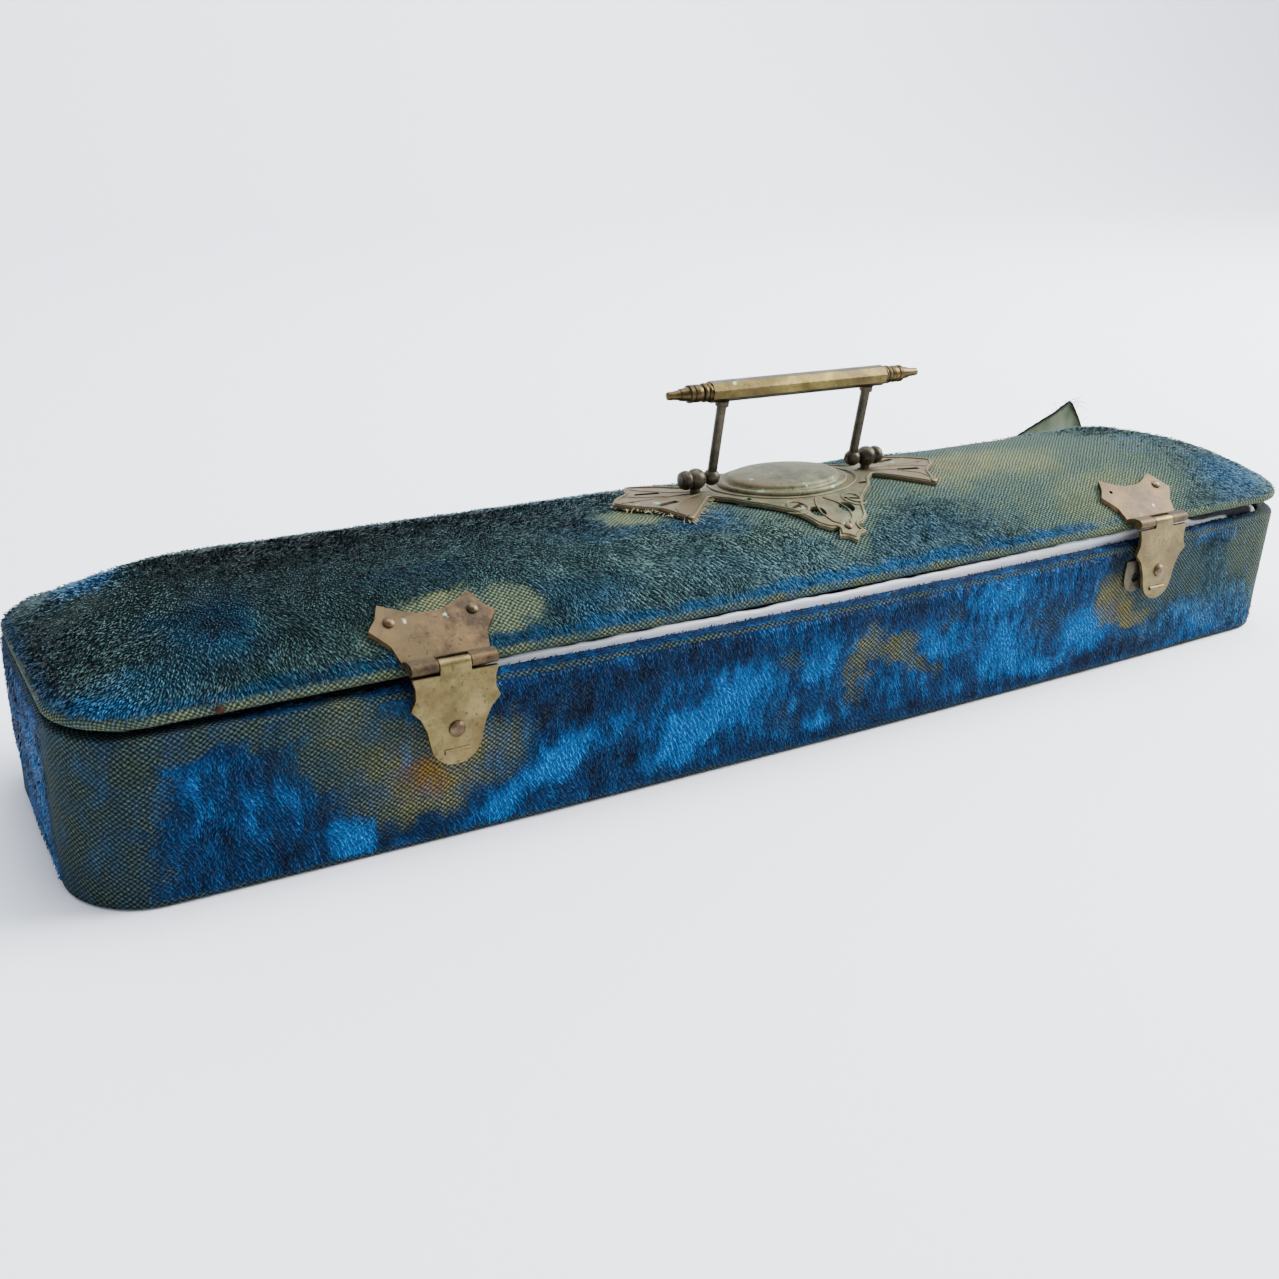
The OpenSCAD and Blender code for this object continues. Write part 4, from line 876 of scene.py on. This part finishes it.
def swell(made, held, most):
    """Fills a pad: its cover is blown out as cloth while its back and seam are held. No point
    travels more than most millimetres."""
    scene = bpy.context.scene
    start, _ = points_of(made)
    made.vertex_groups.new(name="held").add(held, 1.0, "REPLACE")
    cloth = made.modifiers.new("wadding", "CLOTH")
    cloth.settings.quality = 6
    cloth.settings.use_pressure = True
    cloth.settings.uniform_pressure_force = 4.0
    cloth.settings.effector_weights.gravity = 0.0
    cloth.settings.vertex_group_mass = "held"
    frames = 20
    cloth.point_cache.frame_end = frames
    for number in range(1, frames + 1):
        scene.frame_set(number)
    blown = np.empty(start.size)
    seen = made.evaluated_get(bpy.context.evaluated_depsgraph_get())
    seen.data.vertices.foreach_get("co", blown)
    made.modifiers.remove(cloth)
    scene.frame_set(1)
    travel = blown.reshape(-1, 3) / MM - start
    length = np.linalg.norm(travel, axis=1, keepdims=True)
    travel *= most * np.tanh(length / most) / np.maximum(length, 1e-9)
    made.data.vertices.foreach_set("co", ((start + travel) * MM).ravel())
    made.data.update()


def slab(rows, columns):
    """Faces of two grids of points, one behind the other, with their edges joined, and the
    outline of the first grid."""
    count = rows * columns
    grid = np.arange(count).reshape(rows, columns)
    cells = np.stack([grid[:-1, :-1], grid[1:, :-1], grid[1:, 1:], grid[:-1, 1:]], -1).reshape(-1, 4)
    loop = np.concatenate([grid[:-1, 0], grid[-1, :-1], grid[:0:-1, -1], grid[0, :0:-1]])
    after = np.roll(loop, -1)
    sides = np.stack([loop, after, after + count, loop + count], 1)
    return np.concatenate([cells, cells + count, sides]).tolist(), loop


def pad(name, inset, radius, back, front, flat_out, seed):
    """A closed pad on a grid in the plan of a rounded rectangle. Back and front give the height
    of each side, front from the distance to the seam too."""
    a, b = half_length - inset, half_width - inset
    s, t = np.meshgrid(np.linspace(-1, 1, 111), np.linspace(-1, 1, 23), indexing="ij")
    x = a * s
    past = np.maximum(np.abs(x) - (a - radius), 0)
    wide = b - radius + np.sqrt(np.maximum(radius ** 2 - past ** 2, 0))
    y = wide * t
    seam = np.minimum(a - np.abs(x), wide - np.abs(y))
    flat_points = np.stack([x, y, 0 * x], -1).reshape(-1, 3)
    pucker = np.abs(ripple(flat_points, 3.4, seed)).reshape(x.shape) * (1 - smooth(seam / 9))
    z_back, z_front = back(x, y), front(x, y, seam, pucker)
    points = np.concatenate([np.stack([x, y, z_back], -1).reshape(-1, 3),
                             np.stack([x, y, z_front], -1).reshape(-1, 3)])
    faces, loop = slab(*x.shape)
    made = piece(name, points * MM, faces, white_satin)
    swell(made, list(range(x.size)) + (loop + x.size).tolist(), flat_out)
    return made


def floor_front(x, y, seam, pucker):
    """The upper side of the floor pad."""
    return 5.6 + 1.9 * np.sqrt(smooth(seam / 16)) - 0.5 * pucker


def panel_front(x, y, seam, pucker):
    """The lower side of the lid's panel, which follows the warped lid."""
    return lid_edge(x, y) + 0.35 - 1.9 * np.sqrt(smooth(seam / 20)) + 0.3 * pucker


floor_pad = pad("satin_floor_pad", 6.0, 11.5, lambda x, y: 0 * x + 3.85, floor_front, 0.9, 81)
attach(floor_pad, "base")
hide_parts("floor_pad")
lid_pad = pad("satin_lid_panel", 6.4, 12.0, lambda x, y: lid_edge(x, y) + 0.8, panel_front, 0.8, 85)
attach(lid_pad, "lid")
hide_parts("lid_lining")

# TORN FLAP
# Behind, near the right end, a corner of the covering has torn loose and stands up. Its dull
# olive back faces forwards, and its torn edge is dark and frayed into loose threads.


def backing():
    """The velvet's back: a close olive weave, darker towards the torn edge, blue behind."""
    made, tree, out = material("velvet's olive back")
    torn, behind = read(tree, "torn", "behind")
    place = add(tree, "TexCoord", output="Object")
    weave = woven(tree, place, (pi / (0.6 * MM), 0, 0), (0, 0, pi / (0.5 * MM)))
    cloud = add(tree, "TexNoise", {"Vector": place, "Scale": 260.0, "Detail": 5.0})
    over = add(tree, "Math", {0: weave, 1: 0.3, 2: cloud}, operation="MULTIPLY_ADD")
    over = add(tree, "MapRange", {0: over, 1: 0.1, 2: 0.9})
    colour = add(tree, "Mix", {0: over, 6: linear("#3a4232"), 7: linear("#7d8870")})
    blue = add(tree, "Mix", {0: over, 6: linear("#051820"), 7: linear("#1c4250")})
    colour = add(tree, "Mix", {0: behind, 6: colour, 7: blue})
    edge = add(tree, "MapRange", {0: torn, 1: 0.82, 2: 0.98})
    colour = add(tree, "Mix", {0: edge, 6: colour, 7: linear("#10140f")})
    bump = add(tree, "Bump", {"Height": over, "Strength": 0.5, "Distance": 0.0002})
    shader = add(tree, "BsdfPrincipled", {
        "Base Color": colour, "Normal": bump, "Roughness": 0.9, "Specular IOR Level": 0.1})
    tree.links.new(shader, out.inputs["Surface"])
    return made


def tube(path, radius, sides=6):
    """Points and faces of a closed-ended round tube along a path in millimetres."""
    path = np.asarray(path, dtype=float)
    way = unit(np.gradient(path, axis=0))
    first = unit(np.cross(way, np.where(np.abs(way[:, 2:]) < 0.9, (0, 0, 1.0), (1.0, 0, 0))))
    second = np.cross(way, first)
    turn = np.arange(sides) * 2 * pi / sides
    rings = [c + r * (np.outer(np.cos(turn), p) + np.outer(np.sin(turn), q))
             for c, p, q, r in zip(path, first, second, np.broadcast_to(radius, len(path)))]
    return np.concatenate(rings), capped(rings)


def joined(tubes):
    """Several point and face sets as one."""
    points, faces, start = [], [], 0
    for where, cells in tubes:
        points.append(where)
        faces += [[start + i for i in cell] for cell in cells]
        start += len(where)
    return np.concatenate(points), faces


flap_left, flap_peak, flap_right, flap_high = 113.5, 146.0, 154.5, 12.2
s, h = np.meshgrid(np.linspace(0, 1, 100), np.linspace(0, 1, 26), indexing="ij")
x = flap_left + (flap_right - flap_left) * s
rising = np.clip((x - flap_left) / (flap_peak - flap_left), 0, 1) ** 1.15
falling = np.clip((flap_right - x) / (flap_right - flap_peak), 0, 1) ** 0.8
jag = ripple(np.stack([x, 0 * x, 0 * x], -1).reshape(-1, 3), 1.1, 91).reshape(x.shape)
high = flap_high * rising * falling * (1 + 0.035 * jag) + 0.35
foot = lid_top(x, 33 + 0 * x) - 0.5 * smooth((x - 140) / 14) + 0.2
z = foot + high * h
belly = np.sin(pi * 0.62 * h) * rising * falling
y = 33.1 + 2.4 * belly + 0.35 * np.sin(x / 2.6 + 2 * h) * h * rising * falling
x = x + 2.6 * h ** 2 * rising * falling
front_side = np.stack([x, y, z], -1).reshape(-1, 3)
flap_thick = (0, 0.65, 0)
flap = piece("flap_cloth", np.concatenate([front_side, front_side + flap_thick]) * MM,
             slab(*s.shape)[0], backing())
reach_torn = np.where(falling < 1, np.maximum(h, 1 - 0.9 * falling), h)
give(flap, torn=np.tile(reach_torn.ravel(), 2), behind=np.repeat([0.0, 1.0], s.size))
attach(flap, "lid")
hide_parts("torn_flap")

# Its pile side faces back, and the tufts thin out towards the tear
u, v = np.tile(x.ravel(), 2), np.tile((high * h).ravel(), 2)
worn = np.tile(smooth((reach_torn.ravel() - 0.7) / 0.3), 2)
flap_pile = sow(
    "flap_pile", flap, u, v,
    {"bare": worn, "tone": 0.5 * ripple(np.column_stack([u, v, 0 * u]), 5, 93),
     "fade": 0.6 + 0 * u, "tufted": np.repeat([0.0, 1.0], s.size)},
    length=1.2, lean=0.5, comb=lambda root: np.tile([0.2, 0.0, 1.0], (len(root), 1)), sway=0.4,
    slant=0.6, shell=metal_shell("hinge_leaf_lid_right"), finish=faded_pile, seed=95)
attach(flap_pile, "lid")

# Loose threads stand up from the tear, and a few long ones from its peak
chance = np.random.default_rng(97)
torn_edge = front_side.reshape(*s.shape, 3)[:, -1]
threads = []
for k in range(34):
    at = chance.integers(55, 99) if k > 8 else chance.integers(74, 84)
    start = torn_edge[at] + (0, 0.3, -0.3)
    step = np.linspace(0, 1, 12)[:, None]
    lean = np.array([chance.normal(0.6, 0.6), chance.normal(0, 0.7), chance.uniform(0.5, 1.2)])
    curl = np.array([chance.normal(0, 0.8), chance.normal(0, 0.8), chance.normal(-0.2, 0.5)])
    long = chance.uniform(0.8, 1.9) if k > 3 else chance.uniform(3.0, 4.2)
    threads.append(tube(start + long * (step * lean + step ** 2 * curl), 0.055, 5))
points, faces = joined(threads)
flap_threads = piece("flap_threads", points * MM, faces, flap.data.materials[0])
give(flap_threads, torn=np.full(len(points), 0.93), behind=np.zeros(len(points)))
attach(flap_threads, "lid")

# METALS
# Stamped sheet brass and cast brass, never lacquered, gone brown and dull, with verdigris in the
# hollows. The clasps' fixed leaves have lost more zinc and are redder. The nails are rusty iron.
handle_x = 9.7


def metal(name, plain, rubbed, deep, roughness, warm=None, patina=None, ends=None, metallic=1.0):
    """Old brass or iron: mottled over 6 mm, pitted over 1 mm and, if asked, with redder patches
    of 12 mm, verdigris of 3 mm and redder ends beyond a distance from the handle's middle."""
    made, tree, out = material(name)
    place = add(tree, "TexCoord", output="Object")
    broad = add(tree, "TexNoise", {"Vector": place, "Scale": 170.0, "Detail": 6.0,
                                   "Roughness": 0.72})
    fine = add(tree, "TexNoise", {"Vector": place, "Scale": 1100.0, "Detail": 4.0})
    light = add(tree, "MapRange", {0: broad, 1: 0.38, 2: 0.62})
    colour = add(tree, "Mix", {0: light, 6: linear(plain), 7: linear(rubbed)})
    if warm:
        red = add(tree, "TexNoise", {"Vector": place, "Scale": 85.0, "Detail": 5.0,
                                     "Distortion": 0.6})
        red = add(tree, "MapRange", {0: red, 1: 0.46, 2: 0.62, 4: 0.75})
        if ends:
            away = add(tree, "SeparateXYZ", {0: place})
            away = add(tree, "Math", {0: away, 1: -handle_x * MM}, operation="ADD")
            away = add(tree, "Math", {0: away}, operation="ABSOLUTE")
            away = add(tree, "MapRange", {0: away, 1: ends, 2: ends + 0.006})
            red = add(tree, "Math", {0: red, 1: away}, operation="MAXIMUM")
        colour = add(tree, "Mix", {0: red, 6: colour, 7: linear(warm)})
    pits = add(tree, "MapRange", {0: fine, 1: 0.60, 2: 0.74, 4: 0.7})
    colour = add(tree, "Mix", {0: pits, 6: colour, 7: linear(deep)})
    if patina:
        green = add(tree, "TexNoise", {"Vector": place, "Scale": 300.0, "Detail": 4.0})
        green = add(tree, "MapRange", {0: green, 1: 0.67, 2: 0.72})
        colour = add(tree, "Mix", {0: green, 6: colour, 7: linear(patina)})
    rough = add(tree, "MapRange", {0: broad, 3: roughness - 0.08, 4: roughness + 0.14})
    bump = add(tree, "Bump", {"Height": fine, "Strength": 0.25, "Distance": 0.00008})
    shader = add(tree, "BsdfPrincipled", {
        "Base Color": colour, "Metallic": metallic, "Roughness": rough, "Normal": bump})
    tree.links.new(shader, out.inputs["Surface"])
    return made


# Fingers keep the clasps' brass rubbed, the plate is dull and greenish, and the bar is smooth
# with a soft shine. Their pins, posts and hinges are almost black.
clasp_brass = metal("worn clasp brass", "#53492a", "#796b45", "#2c2214", 0.44, warm="#56452a",
                    metallic=0.9)
leaf_brass = metal("copper-toned brass", "#302517", "#614d31", "#181008", 0.56, warm="#4f432a",
                   patina="#7c907e", metallic=0.8)
plate_brass = metal("tarnished plate brass", "#3f3e2a", "#66644a", "#1f1e14", 0.58,
                    warm="#60543c", patina="#6f9a7c", ends=0.023, metallic=0.8)
bar_brass = metal("antique bar brass", "#463c20", "#706338", "#17120a", 0.36, warm="#3f3521",
                  patina="#6f9478")
finial_brass = metal("darkened finial brass", "#3f3420", "#62522f", "#15110a", 0.36, warm="#2b2316")
nail_brass = metal("tarnished nail brass", "#463b2b", "#74644a", "#17120d", 0.42, warm="#4f3426")
dark_brass = metal("blackened brass", "#332f26", "#544e40", "#141210", 0.45)
rusty_iron = metal("rusty iron", "#2a1f18", "#453229", "#120c09", 0.6)
finish(clasp_brass, "hasp_left", "hasp_right", "clasp_pin_left", "clasp_pin_right")
finish(nail_brass, "clasp_nails", "plate_nails", "stud_left", "stud_right")
finish(leaf_brass, "clasp_leaf_left", "clasp_leaf_right")
finish(plate_brass, "handle_plate")
finish(bar_brass, "handle_bar")
finish(finial_brass, "finial_left", "finial_right")
finish(dark_brass, "keeper_left", "keeper_right", "keeper_nails", "post_left", "post_right",
       "pivot_lug_left", "pivot_lug_right", "hinge_leaf_base_left", "hinge_leaf_base_right",
       "hinge_leaf_lid_left", "hinge_leaf_lid_right")
finish(rusty_iron, "rim_nail", "hinge_nails_base", "hinge_nails_lid", "hinge_pin_left",
       "hinge_pin_right")

# PLATE RELIEF
# The handle plate is stamped from thin brass: a raised border follows its outline, scrolls curl
# round the piercings, and ribs run out along its wings.
wing, border_in = 48.0, 0.62
plate_face = metal_shell("handle_plate")


def pressed(path, radius, lift=0.05):
    """A half-sunk bead along a path on the plate, given from the plate's middle."""
    x = handle_x + np.asarray(path, dtype=float)[:, 0]
    y = np.asarray(path, dtype=float)[:, 1]
    drops = [plate_face.ray_cast((a, b, 80), (0, 0, -1))[0] for a, b in zip(x, y)]
    kept = [k for k, drop in enumerate(drops) if drop is not None]
    z = np.interp(np.arange(len(x)), kept, [drops[k][2] for k in kept])
    return tube(np.stack([x, y, z + lift], 1), radius, 8)


def resampled(corners, step, closed):
    """Evenly spaced points along a line, its corners rounded a little."""
    line = np.asarray(corners, dtype=float)
    if closed:
        line = np.vstack([line, line[:1]])
    run = np.concatenate([[0], np.hypot(*np.diff(line, axis=0).T).cumsum()])
    at = np.linspace(0, run[-1], int(run[-1] / step))
    made = np.stack([np.interp(at, run, line[:, k]) for k in (0, 1)], 1)
    for _ in range(3):
        if closed:
            made = (np.roll(made, 1, 0) + 2 * made + np.roll(made, -1, 0)) / 4
        else:
            made[1:-1] = (made[:-2] + 2 * made[1:-1] + made[2:]) / 4
    return made


front_line = [(wing, 0), (wing - 3, -4), (wing - 8, -7.5), (wing - 10, -11.5), (wing - 12, -15.5),
              (wing - 15, -13), (wing - 19.5, -8.5), (24.5, -4.4), (21, -7.4), (18, -11.4),
              (13, -15.4), (10.2, -18), (8.6, -20.65), (7.2, -23.6), (4.6, -25.4), (2.4, -25.4),
              (4, -27.7), (1.8, -28), (0, -29.5)]
half_line = front_line + [(-a, b) for a, b in front_line[-2::-1]]
whole_line = half_line + [(a, -b) for a, b in half_line[-2:0:-1]]
border = resampled(whole_line, 0.45, True)
along = unit(np.roll(border, -1, 0) - np.roll(border, 1, 0))
inner = border + border_in * np.stack([along[:, 1], -along[:, 0]], 1)
for _ in range(4):
    inner = (np.roll(inner, 1, 0) + 2 * inner + np.roll(inner, -1, 0)) / 4
beads = [pressed(np.vstack([inner, inner[:2]]), 0.3)]
turn = np.linspace(0, 2 * pi, 140)
beads.append(pressed(np.stack([20.2 * np.cos(turn), 12.9 * np.sin(turn)], 1), 0.28))
curl = np.linspace(0.3, 3.1 * pi, 60)
reach = 3.4 - 0.22 * curl
scroll = np.stack([8.4 + reach * np.cos(curl), 16.4 + reach * np.sin(curl)], 1)
stem = [(1.2, 14.2), (3.0, 17.0), (4.0, 20.5), (3.0, 23.5), (1.2, 24.6)]
veins = [[(24, 0.8), (31, 3.2), (36.5, 8.5), (37.0, 12.5)], [(33, 0.6), (39, 2.2), (42.5, 5.0)]]
for sx in (-1, 1):
    for sy in (-1, 1):
        beads.append(pressed(scroll * (sx, sy), 0.26))
        beads.append(pressed(resampled(stem, 0.4, False) * (sx, sy), 0.24))
        for vein in veins:
            beads.append(pressed(resampled(vein, 0.5, False) * (sx, sy), 0.16, 0.0))
    beads.append(pressed(resampled([(sx * 22.5, 0), (sx * 45.5, 0)], 0.6, False), 0.18, 0.0))
points, faces = joined(beads)
plate_relief = piece("plate_relief", points * MM, faces, plate_brass)
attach(plate_relief, "lid")

# PLATE OVAL
# A separate oval of sheet brass is domed up in the plate's middle, with a stepped and rolled edge
# that is sunk into the plate.
plate_top, around_oval = 50.98, 96
dome = [(17.6, 11.8, -0.9), (17.6, 11.8, 0.1), (17.5, 11.7, 0.75), (17.0, 11.3, 0.95),
        (16.4, 10.8, 0.9), (15.9, 10.4, 0.75), (15.5, 10.1, 0.72), (15.2, 9.9, 1.3),
        (14.9, 9.7, 1.75), (14.3, 9.2, 2.05), (13.2, 8.5, 2.2), (11.0, 7.0, 2.42), (8.0, 5.0, 2.6),
        (4.0, 2.6, 2.72), (1.2, 0.8, 2.75)]
turn = np.arange(around_oval) * 2 * pi / around_oval
rings = [np.stack([handle_x + a * np.cos(turn), b * np.sin(turn), 0 * turn + plate_top + c], 1)
         for a, b, c in dome]
medallion = piece("plate_medallion", np.concatenate(rings) * MM, capped(rings), plate_brass)
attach(medallion, "lid")

# FRAYED THREADS
# Round the plate's left wing the velvet's ground has frayed. Loose ends of its pale, undyed cotton
# stick out from under the brass. They are dull and a little uneven in colour.
frayed = metal("frayed cotton", "#8f8a6a", "#b9b492", "#57553f", 0.8, metallic=0.0)
chance = np.random.default_rng(101)
edge = inner[(inner[:, 0] < -23) & (inner[:, 1] < 2)]
strands = []
for k in range(190):
    root = edge[chance.integers(len(edge))] + (handle_x, 0)
    way = np.array([chance.normal(0, 0.7), chance.uniform(-1.1, -0.1)])
    curl = chance.normal(0, 0.5, 2)
    step = np.linspace(-0.3, 1, 9)[:, None]
    flat_path = root + chance.uniform(0.7, 2.1) * (step * way + np.maximum(step, 0) ** 2 * curl)
    rise = 0.45 + chance.uniform(0.1, 0.7) * np.sin(pi * np.clip(step[:, 0], 0, 1) * 0.8)
    strands.append(tube(np.column_stack([flat_path, lid_top(*flat_path.T) + rise]), 0.06, 5))
points, faces = joined(strands)
lid_fray = piece("lid_fray", points * MM, faces, frayed)
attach(lid_fray, "lid")

# PIVOT KNOBS
# A turned brass knob with a groove and a rounded end caps the outer end of each handle pivot. It
# is pinned through, and as blackened as the lugs.
knob = [(0, 0.9), (0.15, 1.75), (0.7, 2.15), (1.5, 2.3), (2.1, 2.15), (2.5, 1.7), (2.75, 1.5),
        (3.0, 1.7), (3.2, 1.3), (3.3, 0.5)]
pivot_height = 54.38
turn = np.arange(40) * 2 * pi / 40
for side, tip in (("left", -20.1), ("right", 39.5)):
    way = 1 if side == "left" else -1
    rings = [np.stack([0 * turn + tip + way * d, r * np.cos(turn), pivot_height + r * np.sin(turn)],
                      1) for d, r in knob]
    made = piece(f"pivot_knob_{side}", np.concatenate(rings) * MM, capped(rings), dark_brass)
    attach(made, "lid")
